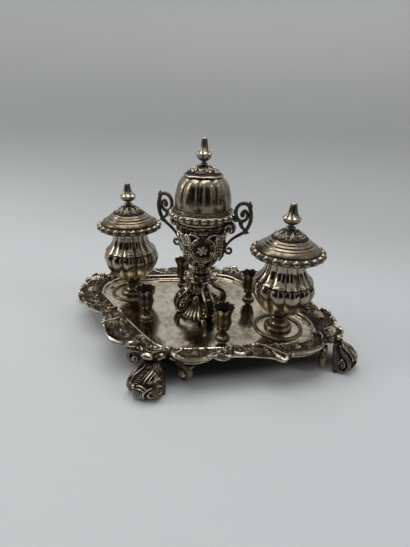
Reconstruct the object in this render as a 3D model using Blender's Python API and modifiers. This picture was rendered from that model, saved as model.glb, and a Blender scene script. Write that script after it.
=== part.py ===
"""A silver desk inkstand: a lozenge tray on four leaf feet with two covered inkwells, a covered urn and four
pen cups.

Metres, +Z up. The origin is on the table under the middle of the tray, +X runs along the tray to the right
inkwell and -Y points to the front tip.
"""

import math

import bmesh
import bpy
from mathutils import Matrix, Vector

# Gap left between two pieces that touch
GAP = 0.0003
# How far a cutter runs past what it cuts
OVERRUN = 0.001

# Tray sheet, whose flat well is a lozenge with round corners
TRAY_HEIGHT = 0.0174
SHEET = 0.0012
WELL_TIP_PAST_INKWELL = 0.0012
WELL_CENTRE_Y = 0.0348
WELL_CORNER_RADIUS = 0.0216
WELL_SIDE_BOW = 0.0006
FLANGE_AT_ENDS = 0.018
FLANGE_AT_SIDES = 0.0174
MOULDING_WIDTH = 0.0026
MOULDING_RISE = 0.0026

# Cast border soldered on the tray's flange
BORDER_OVERHANG = 0.001
BORDER_THICKNESS = 0.0028
CORNER_THICKNESS = 0.0044
BORDER_JOINT = 0.0005
BORDER_BOSS_RADIUS = 0.0019

# Leaf feet
FOOT_REACH = 0.013
FOOT_HALF_WIDTH = 0.0108
FOOT_SCROLL_BACK = 0.0105
FOOT_SCROLL_SPREAD = 0.0243
END_FOOT_SCROLL_BACK = 0.0075
END_FOOT_SCROLL_SPREAD = 0.0175
FOOT_SCROLL_TUBE = 0.0017

# Inkwells, measured up from the tray's flat top
LID_FROM_HANDLE = 0.0019
SOCKET_RADIUS = 0.0174
SOCKET_WIDTH = 0.003
SOCKET_HEIGHT = 0.0012
WELL_FOOT_RADIUS = 0.0098
WELL_FOOT_HEIGHT = 0.0123
BOWL_RADIUS = 0.0206
BOWL_HEIGHT = 0.0244
NECK_HEIGHT = 0.0192
WELL_WALL = 0.0009
LINER_WALL = 0.0012
LINER_BELOW_STOPPER = 0.0022
LINER_CLEARANCE = 0.0007
LID_RADIUS = 0.0232
LID_HEIGHT = 0.0179
LID_DROOP = 0.0018
LID_WALL = 0.0009
STOPPER_DEPTH = 0.0068
STOPPER_CLEARANCE = 0.0004
STOPPER_WALL = 0.0007
STUD_RADIUS = 0.0015
STUD_BELOW_NUT = 0.0008
FINIAL_RADIUS = 0.0058
FINIAL_HEIGHT = 0.0155
FINIAL_STEM_RADIUS = 0.001
FINIAL_STEM_BELOW_NUT = 0.0007
FINIAL_NUT_RADIUS = 0.0026
FINIAL_NUT_HEIGHT = 0.0019

# Urn, measured up from the tray's flat top
URN_STEM_RADIUS = 0.007
URN_STEM_HEIGHT = 0.0243
URN_COLLAR_RADIUS = 0.0122
URN_COLLAR_HEIGHT = 0.0037
URN_NECK_RADIUS = 0.0082
URN_NECK_HEIGHT = 0.0068
URN_VASE_RADIUS = 0.0178
URN_VASE_HEIGHT = 0.036
URN_WALL = 0.001
CARTOUCHE_RADIUS = 0.0088
CARTOUCHE_RIM = 0.0026
CARTOUCHE_BOSS_RADIUS = 0.0038
CARTOUCHE_RELIEF = 0.0011
CARTOUCHE_BOSS_RELIEF = 0.0013
VASE_LEAF_HALF_WIDTH = 0.0022
VASE_LEAF_HALF_HEIGHT = 0.01
VASE_LEAF_RELIEF = 0.0008
VASE_LUG_REACH = 0.0017
VASE_LUG_HALF_WIDTH = 0.0026
VASE_LUG_HALF_HEIGHT = 0.0034
URN_RIM_RADIUS = 0.0219
URN_RIM_HEIGHT = 0.0039
URN_COVER_RADIUS = 0.0189
URN_COVER_HEIGHT = 0.0237
URN_COVER_WALL = 0.0009
URN_BEZEL_DEPTH = 0.0047
URN_BEZEL_RISE = 0.0016
URN_BEZEL_CLEARANCE = 0.0004
URN_CAP_RADIUS = 0.013
URN_CAP_HEIGHT = 0.0068
URN_CAP_LAP = 0.001
URN_CAP_WALL = 0.0008
URN_FINIAL_RADIUS = 0.0052
URN_FINIAL_HEIGHT = 0.0162
TIE_ROD_RADIUS = 0.0012
TIE_ROD_HEAD_RADIUS = 0.0028
TIE_ROD_HEAD_HEIGHT = 0.0016

# Scroll legs round the urn's stem
LEG_REACH = 0.0183
LEG_TUBE = 0.0016
LEG_COUNT = 4

# Urn handles
HANDLE_REACH = 0.034
HANDLE_RISE = 0.0128
HANDLE_DROP = 0.0213
HANDLE_TUBE = 0.0009
VOLUTE_RADIUS = 0.0046
VOLUTE_CLEARANCE = 0.0004
HANDLE_RING_RADIUS = 0.0021

# Pen cups
PEN_CUP_PLACE = 0.0294
PEN_CUP_RADIUS = 0.00725
PEN_CUP_HEIGHT = 0.0234
PEN_CUP_STUD_RADIUS = 0.001

# The cartouches' turn from the side where a handle is, so that one faces half left of the front
CARTOUCHE_COUNT = 4
CARTOUCHE_TURN = math.radians(-64)

# Nuts under the tray
NUT_RADIUS = 0.0036
NUT_HEIGHT = 0.0022
SMALL_NUT_RADIUS = 0.0026
NUT_SIDES = 6

# Turn of each drill, so that no two holes' corners stand in one line
DRILL_TURN = math.radians(7)
# Edges sharper than this stay sharp in the shading
SHARP_ANGLE = math.radians(40)
# Steps of the turned pieces
ROUND_STEPS = 18
LINER_STEPS = 12
SMALL_STEPS = 10
ROD_STEPS = 8
STRETCH_STEPS = 3
BORDER_STEPS = 4
STAMP_STEPS = 12
BOSS_STEPS = 6
BOSS_RINGS = 4

# The border's outline over half the tray, from the front tip round by the right tip: where each stretch
# starts, as shares of half the length and half the width, and how far it bulges, as a share of half the width
CORNER = "corner"
SIDE = "side"
OUTLINE_SHARES = (
    (-0.125, -0.870, 0.150, CORNER),
    (0.083, -0.862, 0.098, SIDE),
    (0.333, -0.748, 0.041, SIDE),
    (0.435, -0.667, -0.012, SIDE),
    (0.679, -0.537, 0.057, SIDE),
    (0.750, -0.455, 0.057, SIDE),
    (0.929, -0.146, 0.100, CORNER),
    (0.958, 0.195, 0.050, CORNER),
    (0.833, 0.439, 0.041, SIDE),
    (0.613, 0.569, -0.024, SIDE),
    (0.476, 0.732, 0.024, SIDE),
    (0.440, 0.780, 0.106, SIDE),
)
# A border casting's relief: shares of the way out across the flange and of its thickness. A scroll winds in
# and out over a low ground, with a boss in each of its bends, and a roll runs along the edge.
BORDER_INNER_SHARE = 0.02
BORDER_GROUND_SHARE = 0.35
BORDER_SCROLL_SHARE = 0.42
BORDER_SCROLL_SWING_SHARE = 0.16
BORDER_SCROLL_HALF_SHARE = 0.13
BORDER_SCROLL_TOP_SHARE = 0.88
BORDER_ROLL_SHARES = ((0.8, 0.35), (0.91, 1.0), (1.0, 0.55), (1.0, 0.0))
BORDER_BOSS_SWING_SHARE = 0.2
BORDER_BOSS_HEIGHT_SHARE = 0.55
BORDER_BOSS_RISE_SHARE = 0.4
BORDER_BOSS_END_SHARE = 0.2
# Waves of the scroll on each stretch of the outline
BORDER_WAVES = 0.75
# A foot seen from the side: shares of its reach past the tip and of its height
FOOT_SIDE_SHARES = (
    (0.15, 0.0),
    (0.6, 0.0),
    (0.87, 0.1),
    (1.0, 0.33),
    (0.93, 0.56),
    (0.72, 0.7),
    (0.45, 0.74),
    (0.22, 0.83),
    (0.1, 1.0),
    (-0.9, 1.0),
    (-0.9, 0.91),
    (-0.45, 0.8),
    (-0.2, 0.6),
    (-0.1, 0.35),
    (0.0, 0.13),
)
# Stations across a foot: shares of its half width, and of the reach past the tip that is left there
FOOT_STATION_SHARES = ((-1.0, 0.58), (-0.72, 0.83), (0.0, 1.0), (0.72, 0.83), (1.0, 0.58))
FOOT_TAPER_SHARE = 0.55
# A foot's side scroll: shares of its spread and of the foot's height
FOOT_SCROLL_SHARES = (
    (0.14, 0.895),
    (0.4, 0.863),
    (0.6, 0.863),
    (0.82, 0.827),
    (0.97, 0.689),
    (1.0, 0.475),
    (0.885, 0.308),
    (0.73, 0.33),
    (0.69, 0.486),
    (0.77, 0.584),
)
# Turned outlines, top to bottom: shares of the piece's radius and of its height
WELL_FOOT_SHARES = ((0.66, 1.0), (0.53, 0.85), (0.63, 0.68), (0.48, 0.55), (0.55, 0.36), (0.93, 0.17), (1.0, 0.0))
BOWL_SHARES = ((0.91, 1.0), (0.965, 0.88), (1.0, 0.69), (0.97, 0.51), (0.83, 0.26), (0.58, 0.06), (0.34, 0.0))
NECK_SHARES = (
    (0.76, 1.0),
    (0.76, 0.95),
    (0.715, 0.87),
    (0.675, 0.69),
    (0.706, 0.5),
    (0.81, 0.3),
    (0.94, 0.115),
    (1.0, 0.0),
)
NECK_WAIST_SHARE = 0.675
LID_SHARES = (
    (0.12, 1.0),
    (0.26, 0.85),
    (0.48, 0.66),
    (0.6, 0.54),
    (0.73, 0.43),
    (0.84, 0.31),
    (0.93, 0.21),
    (1.0, 0.09),
    (0.965, 0.0),
)
FINIAL_SHARES = (
    (0.3, 1.0),
    (0.4, 0.93),
    (0.46, 0.72),
    (0.66, 0.54),
    (1.0, 0.39),
    (0.86, 0.22),
    (0.38, 0.12),
    (0.55, 0.0),
)
SOCKET_SHARES = ((0.15, 0.75), (0.5, 1.0), (0.85, 0.7), (1.0, 0.0))
LINER_FOOT_SHARE = 0.6
LINER_BEND_SHARE = 0.09
PEN_CUP_INNER_SHARES = ((0.44, 0.31), (0.6, 0.5), (0.56, 0.69), (0.66, 0.84), (0.89, 1.0))
PEN_CUP_FLOOR_SHARE = 0.3
PEN_CUP_OUTER_SHARES = (
    (1.0, 1.0),
    (0.79, 0.84),
    (0.68, 0.69),
    (0.73, 0.5),
    (0.58, 0.33),
    (0.33, 0.22),
    (0.28, 0.16),
    (0.63, 0.05),
    (0.68, 0.0),
)
URN_STEM_SHARES = ((1.0, 1.0), (0.9, 0.9), (0.62, 0.78), (0.7, 0.6), (0.5, 0.4), (0.58, 0.16), (1.0, 0.06), (1.0, 0.0))
URN_COLLAR_SHARES = ((0.55, 1.0), (0.74, 0.75), (1.0, 0.5), (0.98, 0.14), (0.66, 0.0))
URN_NECK_SHARES = ((0.74, 1.0), (0.59, 0.68), (0.58, 0.4), (0.95, 0.12), (1.0, 0.0))
URN_VASE_SHARES = (
    (0.985, 1.0),
    (1.0, 0.94),
    (0.97, 0.78),
    (0.92, 0.61),
    (0.845, 0.4),
    (0.74, 0.22),
    (0.62, 0.11),
    (0.48, 0.04),
    (0.365, 0.0),
)
CARTOUCHE_HEIGHT_SHARE = 0.47
VASE_LEAF_HEIGHT_SHARE = 0.5
VASE_LUG_HEIGHT_SHARE = 0.85
URN_RIM_SHARES = ((0.877, 1.0), (0.973, 0.88), (1.0, 0.6), (0.94, 0.16), (0.82, 0.0))
URN_COVER_SHARES = ((0.44, 0.99), (0.69, 0.93), (0.85, 0.8), (0.96, 0.61), (1.0, 0.4), (1.0, 0.14), (1.03, 0.0))
URN_CAP_SHARES = ((0.27, 0.94), (0.62, 0.63), (0.92, 0.23), (1.0, 0.0))
# A scroll leg: shares of its reach and of the stem's height
LEG_SHARES = (
    (0.46, 0.925),
    (0.5, 0.8),
    (0.68, 0.66),
    (0.9, 0.53),
    (1.0, 0.35),
    (0.95, 0.17),
    (0.77, 0.078),
    (0.645, 0.15),
    (0.66, 0.265),
    (0.78, 0.295),
)
# A handle's arm from its ring up to its volute: shares of its reach and of the way up from ring to top
HANDLE_ARM_SHARES = ((0.6, 0.194), (0.725, 0.334), (0.87, 0.452), (0.97, 0.604), (1.0, 0.78), (0.935, 0.93))
VOLUTE_CENTRE_SHARE = 0.792
# The volute's radius at each eighth of a turn, from its top round by the urn
VOLUTE_SHARES = (1.54, 1.34, 1.0, 0.95, 0.9, 0.86, 0.8, 0.74, 0.65)

SILVER = ("silver", (0.62, 0.59, 0.53, 1.0), 0.24, 1.0)
CHASED_SILVER = ("chased silver", (0.42, 0.39, 0.34, 1.0), 0.36, 1.0)
CAST_SILVER = ("cast silver", (0.36, 0.33, 0.29, 1.0), 0.38, 1.0)
LINER_GLASS = ("liner glass", (0.62, 0.7, 0.72, 1.0), 0.08, 0.0)
PLATED_STEEL = ("plated steel", (0.5, 0.49, 0.46, 1.0), 0.34, 1.0)


def clear_scene():
    """Empties the scene."""
    for stale in list(bpy.data.objects):
        bpy.data.objects.remove(stale, do_unlink=True)


def make_collection(name):
    """A collection under the scene's own."""
    made = bpy.data.collections.new(name)
    bpy.context.scene.collection.children.link(made)
    return made


def make_material(look, name):
    """A Principled material for one piece."""
    title, colour, roughness, metallic = look
    material = bpy.data.materials.new(f"{title} {name}")
    material.use_nodes = True
    shader = material.node_tree.nodes["Principled BSDF"]
    shader.inputs["Base Color"].default_value = colour
    shader.inputs["Roughness"].default_value = roughness
    shader.inputs["Metallic"].default_value = metallic
    if look is LINER_GLASS:
        shader.inputs["Transmission Weight"].default_value = 1.0
    return material


def place(name, data, look, collection, at=(0, 0, 0), turn=0.0):
    """An object of this mesh or curve, standing at a place and turned about Z."""
    made = bpy.data.objects.new(name, data)
    collection.objects.link(made)
    made.location = at
    made.rotation_euler = (0, 0, turn)
    if look is None:
        made.hide_render = True
        made.display_type = "WIRE"
    else:
        made.data.materials.append(make_material(look, name))
    return made


def mesh_of(name, bm, sheet=False):
    """A smooth-shaded mesh from a bmesh, which is freed. An open sheet's faces all look up."""
    if sheet:
        bm.normal_update()
        bmesh.ops.reverse_faces(bm, faces=[face for face in bm.faces if face.normal.z < 0])
    else:
        bmesh.ops.recalc_face_normals(bm, faces=bm.faces)
    data = bpy.data.meshes.new(name)
    bm.to_mesh(data)
    bm.free()
    data.shade_smooth()
    data.set_sharp_from_angle(angle=SHARP_ANGLE)
    return data


def smooth_path(points, parts=2):
    """Points along a Catmull-Rom curve through the given ones, with so many parts between each two."""
    points = [Vector(point) for point in points]
    ends = [2 * points[0] - points[1], *points, 2 * points[-1] - points[-2]]
    found = []
    for before, start, stop, after in zip(ends, ends[1:], ends[2:], ends[3:]):
        for part in range(parts):
            t = part / parts
            bend = 2 * start + (stop - before) * t
            bend += (2 * before - 5 * start + 4 * stop - after) * t * t
            bend += (3 * start - before - 3 * stop + after) * t * t * t
            found.append(bend / 2)
    return found + [points[-1]]


def scaled(shares, radius, low, high):
    """A turned outline in metres from its shares."""
    return [(radius * across, low + (high - low) * up) for across, up in shares]


def radius_at(outline, height):
    """The outline's radius at a height, between its two nearest points."""
    for (upper_radius, upper), (lower_radius, lower) in zip(outline, outline[1:]):
        if lower <= height <= upper:
            share = (height - lower) / (upper - lower)
            return lower_radius + (upper_radius - lower_radius) * share
    raise ValueError("the height is outside the outline")


def turned(name, outline, look, at, steps=ROUND_STEPS, wall=None, ring=False, turn=0.0):
    """A piece turned about Z from (radius, height) points that run down its outer side.

    With a wall it is an open shell thickened inwards, and a ring's outline is closed on itself. Without a
    look it is a helper, kept with the cutters.
    """
    bm = bmesh.new()
    points = [bm.verts.new((radius, 0, height)) for radius, height in outline]
    for first, second in zip(points, points[1:]):
        bm.edges.new((first, second))
    if ring:
        bm.edges.new((points[-1], points[0]))
    data = bpy.data.meshes.new(name)
    bm.to_mesh(data)
    bm.free()
    made = place(name, data, look, PARTS if look else CUTTERS, at, turn)
    screw = made.modifiers.new("Turn", "SCREW")
    screw.steps = steps
    screw.render_steps = steps
    screw.use_merge_vertices = True
    screw.merge_threshold = 1e-5
    screw.use_smooth_shade = True
    if wall is not None:
        shell = made.modifiers.new("Wall", "SOLIDIFY")
        shell.thickness = wall
        shell.offset = -1
        shell.use_even_offset = True
    return made


def tube_curve(name, points, radius, sides_resolution=1):
    """A round tube along the points, as a curve with filled caps."""
    data = bpy.data.curves.new(name, "CURVE")
    data.dimensions = "3D"
    data.bevel_depth = radius
    data.bevel_resolution = sides_resolution
    data.use_fill_caps = True
    spline = data.splines.new("POLY")
    spline.points.add(len(points) - 1)
    for point, place_of in zip(spline.points, points):
        point.co = (*place_of, 1)
    return data


def hexagon_nut(name, radius, height, bore, top, at):
    """A nut about Z: a ring of six sides, hanging down from a height."""
    clear_bore = bore / math.cos(math.pi / NUT_SIDES)
    outline = [(radius, top), (radius, top - height), (clear_bore, top - height), (clear_bore, top)]
    return turned(name, outline, PLATED_STEEL, at, steps=NUT_SIDES, ring=True)


def half_turn(point):
    """The same point on the other side of the tray's middle."""
    return Vector((-point[0], -point[1]))


def outline_starts():
    """Where each stretch of the whole outline starts, with its bulge and kind."""
    half = []
    for across, along, bulge, kind in OUTLINE_SHARES:
        start = Vector((across * TRAY_LENGTH / 2, along * TRAY_WIDTH / 2))
        half.append((start, bulge * TRAY_WIDTH / 2, kind))
    return half + [(half_turn(start), bulge, kind) for start, bulge, kind in half]


def outline_point(place_on):
    """A point of the border's outline: the whole part counts stretches and the rest is the way along one."""
    starts = outline_starts()
    index = math.floor(place_on)
    t = place_on - index
    start, bulge, _ = starts[index % len(starts)]
    stop = starts[(index + 1) % len(starts)][0]
    chord = stop - start
    outward = Vector((chord.y, -chord.x)).normalized()
    return start + chord * t + outward * bulge * 4 * t * (1 - t)


def well_reach(direction):
    """How far the flat well reaches from the middle along a unit vector: a bowed lozenge with round corners."""
    way = Vector((abs(direction.x), abs(direction.y)))
    side = Vector((WELL_CENTRE_Y, WELL_CENTRE_X)).normalized()
    tip = Vector((WELL_CENTRE_X, 0))
    flank = Vector((0, WELL_CENTRE_Y))
    reach = (side.dot(tip) + WELL_CORNER_RADIUS) / side.dot(way)
    point = way * reach
    along = (point - tip).dot(flank - tip) / (flank - tip).length_squared
    if 0 <= along <= 1:
        return reach + WELL_SIDE_BOW * 4 * along * (1 - along)
    centre = tip if along < 0 else flank
    near = way.dot(centre)
    return near + math.sqrt(near * near - centre.length_squared + WELL_CORNER_RADIUS**2)


def flange_place(place_on, share):
    """A point of the flange between the moulding and the border's edge, at a share of the way out."""
    outer = outline_point(place_on)
    direction = outer.normalized()
    inner = direction * (well_reach(direction) + MOULDING_WIDTH + GAP)
    return inner.lerp(outer, share)


def joined_rings(bm, rings):
    """Rings of as many points each as loops of verts, with a face from each stretch of one to the next's."""
    loops = [[bm.verts.new(point) for point in ring] for ring in rings]
    for first, second in zip(loops, loops[1:]):
        for i in range(len(first)):
            bm.faces.new((first[i - 1], first[i], second[i], second[i - 1]))
    return loops


def loft(name, rings):
    """A mesh through rings of as many points each, with a face over each end."""
    bm = bmesh.new()
    loops = joined_rings(bm, rings)
    bm.faces.new(loops[0])
    bm.faces.new(loops[-1])
    bmesh.ops.triangulate(bm, faces=bm.faces)
    return mesh_of(name, bm)


def make_tray():
    """The tray: a flat well, a moulding round it and a flange, thickened downwards and drilled for the studs."""
    count = len(outline_starts()) * STRETCH_STEPS
    well, brow, edge = [], [], []
    for step in range(count):
        outer = outline_point(step / STRETCH_STEPS)
        direction = outer.normalized()
        reach = well_reach(direction)
        well.append((*(direction * reach), TRAY_HEIGHT))
        brow.append((*(direction * (reach + MOULDING_WIDTH)), FLANGE_TOP))
        edge.append((*(direction * (outer.length - BORDER_OVERHANG)), FLANGE_TOP))
    bm = bmesh.new()
    loops = joined_rings(bm, (well, brow, edge))
    bm.faces.new(loops[0])
    tray = place("tray_plate", mesh_of("tray_plate", bm, sheet=True), SILVER, PARTS)
    shell = tray.modifiers.new("Sheet", "SOLIDIFY")
    shell.thickness = SHEET
    shell.offset = -1
    drill = tray.modifiers.new("Stud holes", "BOOLEAN")
    drill.operation = "DIFFERENCE"
    drill.object = make_drills()
    return tray


def make_drills():
    """One cutter with a cylinder for each stud that passes through the tray."""
    bm = bmesh.new()
    holes = [(place_of, STUD_RADIUS) for place_of in ((-INKWELL_PLACE, 0), (INKWELL_PLACE, 0))]
    holes.append(((0, 0), TIE_ROD_RADIUS))
    holes += [(place_of, PEN_CUP_STUD_RADIUS) for place_of in pen_cup_places()]
    depth = SHEET + 2 * OVERRUN
    for (x, y), radius in holes:
        middle = Matrix.Translation((x, y, TRAY_HEIGHT - SHEET / 2)) @ Matrix.Rotation(DRILL_TURN, 4, "Z")
        bmesh.ops.create_cone(
            bm,
            cap_ends=True,
            segments=SMALL_STEPS,
            radius1=radius + GAP * 2,
            radius2=radius + GAP * 2,
            depth=depth,
            matrix=middle,
        )
    return place("stud_drills", mesh_of("stud_drills", bm), None, CUTTERS)


def border_section(place_on):
    """The border's section at a place on its outline, with the scroll where it winds to there."""
    swing = math.sin(math.tau * BORDER_WAVES * place_on)
    middle = BORDER_SCROLL_SHARE + BORDER_SCROLL_SWING_SHARE * swing
    return (
        (0.0, 0.0),
        (BORDER_INNER_SHARE, BORDER_GROUND_SHARE),
        (middle - BORDER_SCROLL_HALF_SHARE, BORDER_GROUND_SHARE),
        (middle, BORDER_SCROLL_TOP_SHARE),
        (middle + BORDER_SCROLL_HALF_SHARE, BORDER_GROUND_SHARE),
        *BORDER_ROLL_SHARES,
    )


def border_bosses(name, first, count, thickness):
    """Squashed balls in the bends of the scroll, one mesh for each casting."""
    centres = []
    waves = math.ceil(count * 2 * BORDER_WAVES) + 1
    start = math.floor(first * 2 * BORDER_WAVES)
    for half_wave in range(start, start + waves + 1):
        place_on = (half_wave + 0.5) / (2 * BORDER_WAVES)
        if first + BORDER_BOSS_END_SHARE < place_on < first + count - BORDER_BOSS_END_SHARE:
            side = -math.sin(math.tau * BORDER_WAVES * place_on)
            spot = flange_place(place_on, BORDER_SCROLL_SHARE + BORDER_BOSS_SWING_SHARE * side)
            centres.append((*spot, FLANGE_TOP + GAP + thickness * BORDER_BOSS_HEIGHT_SHARE))
    rise = thickness * BORDER_BOSS_RISE_SHARE
    return balls(f"{name}_bosses", centres, (BORDER_BOSS_RADIUS, BORDER_BOSS_RADIUS, rise))


def make_border_piece(name, first, count, thickness, look):
    """One casting of the border over some stretches of the outline, a lofted band on the flange."""
    base = FLANGE_TOP + GAP
    start, stop = first, first + count
    length = (outline_point(start + 1 / BORDER_STEPS) - outline_point(start)).length * BORDER_STEPS
    steps = count * BORDER_STEPS
    rings = []
    for step in range(steps + 1):
        place_on = start + (stop - start) * step / steps
        if step == 0:
            place_on += BORDER_JOINT / 2 / length
        if step == steps:
            last = (outline_point(stop) - outline_point(stop - 1 / BORDER_STEPS)).length * BORDER_STEPS
            place_on -= BORDER_JOINT / 2 / last
        ring = []
        for across, up in border_section(place_on):
            ring.append((*flange_place(place_on, across), base + thickness * up))
        rings.append(ring)
    casting = place(name, loft(name, rings), look, PARTS)
    joined(casting, [border_bosses(name, first, count, thickness)])


def make_border():
    """Four border castings along the sides and four corner ornaments over their joins."""
    kinds = [kind for _, _, kind in outline_starts()]
    corner_names = iter(("corner_front", "corner_right", "corner_back", "corner_left"))
    side_names = iter(("border_front_right", "border_back_right", "border_back_left", "border_front_left"))
    first = 0
    while first < len(kinds):
        count = 1
        while first + count < len(kinds) and kinds[first + count] == kinds[first]:
            count += 1
        if kinds[first] == CORNER:
            make_border_piece(next(corner_names), first, count, CORNER_THICKNESS, CAST_SILVER)
        else:
            make_border_piece(next(side_names), first, count, BORDER_THICKNESS, CHASED_SILVER)
        first += count


def joined(made, others):
    """Fuses helper solids into an object with Boolean unions."""
    for other in others:
        union = made.modifiers.new("Fuse", "BOOLEAN")
        union.operation = "UNION"
        union.object = other


def balls(name, centres, radii, at=(0, 0, 0)):
    """Helper balls of the same three radii, to fuse into a piece."""
    bm = bmesh.new()
    for centre in centres:
        matrix = Matrix.Translation(centre) @ Matrix.Diagonal((*radii, 1))
        matrix = matrix @ Matrix.Rotation(DRILL_TURN, 4, "Z")
        bmesh.ops.create_uvsphere(bm, u_segments=BOSS_STEPS, v_segments=BOSS_RINGS, radius=1, matrix=matrix)
    return place(name, mesh_of(name, bm), None, CUTTERS, at)


def tube_helper(name, points, radius, at, turn):
    """A hidden tube mesh to fuse into a piece: the curve's evaluated mesh with its caps welded."""
    curve = place(name, tube_curve(name, points, radius), None, CUTTERS, at, turn)
    bpy.context.view_layer.update()
    solid = bpy.data.meshes.new_from_object(curve.evaluated_get(bpy.context.evaluated_depsgraph_get()))
    bm = bmesh.new()
    bm.from_mesh(solid)
    bmesh.ops.remove_doubles(bm, verts=bm.verts, dist=1e-6)
    bmesh.ops.recalc_face_normals(bm, faces=bm.faces)
    bm.to_mesh(solid)
    bm.free()
    bpy.data.objects.remove(curve, do_unlink=True)
    return place(name, solid, None, CUTTERS, at, turn)


def make_foot(name, turn, tip, spread, back):
    """A cast leaf foot under one tip: a curled hood that widens down to its sole, with a scroll each side."""
    top = FLANGE_TOP - SHEET - GAP
    rings = []
    for across, left in FOOT_STATION_SHARES:
        ring = []
        for reach, up in FOOT_SIDE_SHARES:
            out = reach * left if reach > 0 else reach
            width = FOOT_HALF_WIDTH * (1 - FOOT_TAPER_SHARE * up * up)
            ring.append((out * FOOT_REACH, across * width, up * top))
        rings.append(ring)
    foot = place(name, loft(name, rings), CAST_SILVER, PARTS, (0, 0, 0), turn)
    foot.location = Matrix.Rotation(turn, 3, "Z") @ Vector((tip, 0, 0))
    scrolls = []
    for side in (-1, 1):
        points = [(-back, side * out * spread, up * top) for out, up in FOOT_SCROLL_SHARES]
        helper = tube_helper(f"{name}_scroll", points, FOOT_SCROLL_TUBE, foot.location, turn)
        scrolls.append(helper)
    joined(foot, scrolls)
    return foot


def make_feet():
    """The four feet, under the tips of the tray."""
    quarter = math.pi / 2
    make_foot("foot_right", 0, TRAY_LENGTH / 2, END_FOOT_SCROLL_SPREAD, END_FOOT_SCROLL_BACK)
    make_foot("foot_back", quarter, TRAY_WIDTH / 2, FOOT_SCROLL_SPREAD, FOOT_SCROLL_BACK)
    make_foot("foot_left", 2 * quarter, TRAY_LENGTH / 2, END_FOOT_SCROLL_SPREAD, END_FOOT_SCROLL_BACK)
    make_foot("foot_front", 3 * quarter, TRAY_WIDTH / 2, FOOT_SCROLL_SPREAD, FOOT_SCROLL_BACK)


def stud_end(nut_height):
    """How low a stud under the tray ends, past its nut."""
    return -SHEET - GAP - nut_height - STUD_BELOW_NUT


def finial_outline(radius, low, height, stem_end):
    """A bud finial with its threaded stem below."""
    outline = [(0, low + height), *scaled(FINIAL_SHARES, radius, low, low + height)]
    return outline + [(FINIAL_STEM_RADIUS, low), (FINIAL_STEM_RADIUS, stem_end), (0, stem_end)]


def make_inkwell(side, x):
    """An inkwell on the tray, from its socket ring to the finial on its lid."""
    at = (x, 0, TRAY_HEIGHT)
    socket_inner = SOCKET_RADIUS - SOCKET_WIDTH
    socket = [(socket_inner + SOCKET_WIDTH * out, GAP + SOCKET_HEIGHT * up) for out, up in SOCKET_SHARES]
    turned(f"well_socket_{side}", [*socket, (socket_inner, GAP)], SILVER, at, ring=True)

    foot = scaled(WELL_FOOT_SHARES, WELL_FOOT_RADIUS, GAP, WELL_FOOT_HEIGHT)
    low = stud_end(NUT_HEIGHT)
    foot = [(0, WELL_FOOT_HEIGHT), *foot, (STUD_RADIUS, GAP), (STUD_RADIUS, low), (0, low)]
    turned(f"well_foot_{side}", foot, SILVER, at)
    hexagon_nut(f"well_stud_nut_{side}", NUT_RADIUS, NUT_HEIGHT, STUD_RADIUS + GAP, -SHEET - GAP, at)

    bowl_low = WELL_FOOT_HEIGHT + GAP
    seam = bowl_low + BOWL_HEIGHT
    bowl = scaled(BOWL_SHARES, BOWL_RADIUS, bowl_low, seam)
    turned(f"well_bowl_{side}", [*bowl, (0, bowl_low)], SILVER, at, wall=WELL_WALL)
    seam_radius = bowl[0][0]
    mouth = seam + GAP + NECK_HEIGHT
    neck = scaled(NECK_SHARES, seam_radius, seam + GAP, mouth)
    turned(f"well_neck_{side}", neck, SILVER, at, wall=WELL_WALL)

    waist = seam_radius * NECK_WAIST_SHARE - WELL_WALL
    liner_radius = waist - LINER_CLEARANCE
    liner_low = bowl_low + WELL_WALL + GAP
    liner_high = mouth + GAP - STOPPER_DEPTH - LINER_BELOW_STOPPER
    bend = liner_low + (liner_high - liner_low) * LINER_BEND_SHARE
    liner = [
        (liner_radius, liner_high),
        (liner_radius, bend),
        (liner_radius * LINER_FOOT_SHARE, liner_low),
        (0, liner_low),
    ]
    turned(f"well_liner_{side}", liner, LINER_GLASS, at, steps=LINER_STEPS, wall=LINER_WALL)
    make_lid(side, at, mouth, waist)


def make_lid(side, at, mouth, waist):
    """An inkwell's lid: a stepped dome, the stopper pan inside it, and the finial with its nut."""
    low = mouth - LID_DROOP
    lid = scaled(LID_SHARES, LID_RADIUS, low, low + LID_HEIGHT)
    hole = FINIAL_STEM_RADIUS + GAP
    crown = low + LID_HEIGHT
    turned(f"well_lid_{side}", [(hole, crown), *lid], SILVER, at, wall=LID_WALL)

    flange_low = mouth + GAP
    slope = 1.35 * LID_WALL
    flange = radius_at(lid, flange_low + STOPPER_WALL) - slope - GAP
    plug = waist - STOPPER_CLEARANCE
    pan_low = flange_low - STOPPER_DEPTH
    pan = [(flange, flange_low), (plug, flange_low), (plug, pan_low), (0, pan_low)]
    turned(f"well_stopper_{side}", pan, SILVER, at, wall=STOPPER_WALL)

    nut_top = crown - LID_WALL - GAP
    stem_end = nut_top - FINIAL_NUT_HEIGHT - FINIAL_STEM_BELOW_NUT
    finial = finial_outline(FINIAL_RADIUS, crown + GAP, FINIAL_HEIGHT, stem_end)
    turned(f"well_finial_{side}", finial, SILVER, at, steps=SMALL_STEPS)
    hexagon_nut(f"well_lid_nut_{side}", FINIAL_NUT_RADIUS, FINIAL_NUT_HEIGHT, hole, nut_top, at)


def make_urn_leg(name, turn, at):
    """A scroll leg of the urn, from under the collar out and down to its curled foot on the tray."""
    points = []
    for reach, up in LEG_SHARES:
        points.append((reach * LEG_REACH, 0, up * URN_STEM_HEIGHT))
    data = tube_curve(name, smooth_path(points), LEG_TUBE)
    return place(name, data, CAST_SILVER, PARTS, at, turn)


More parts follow.
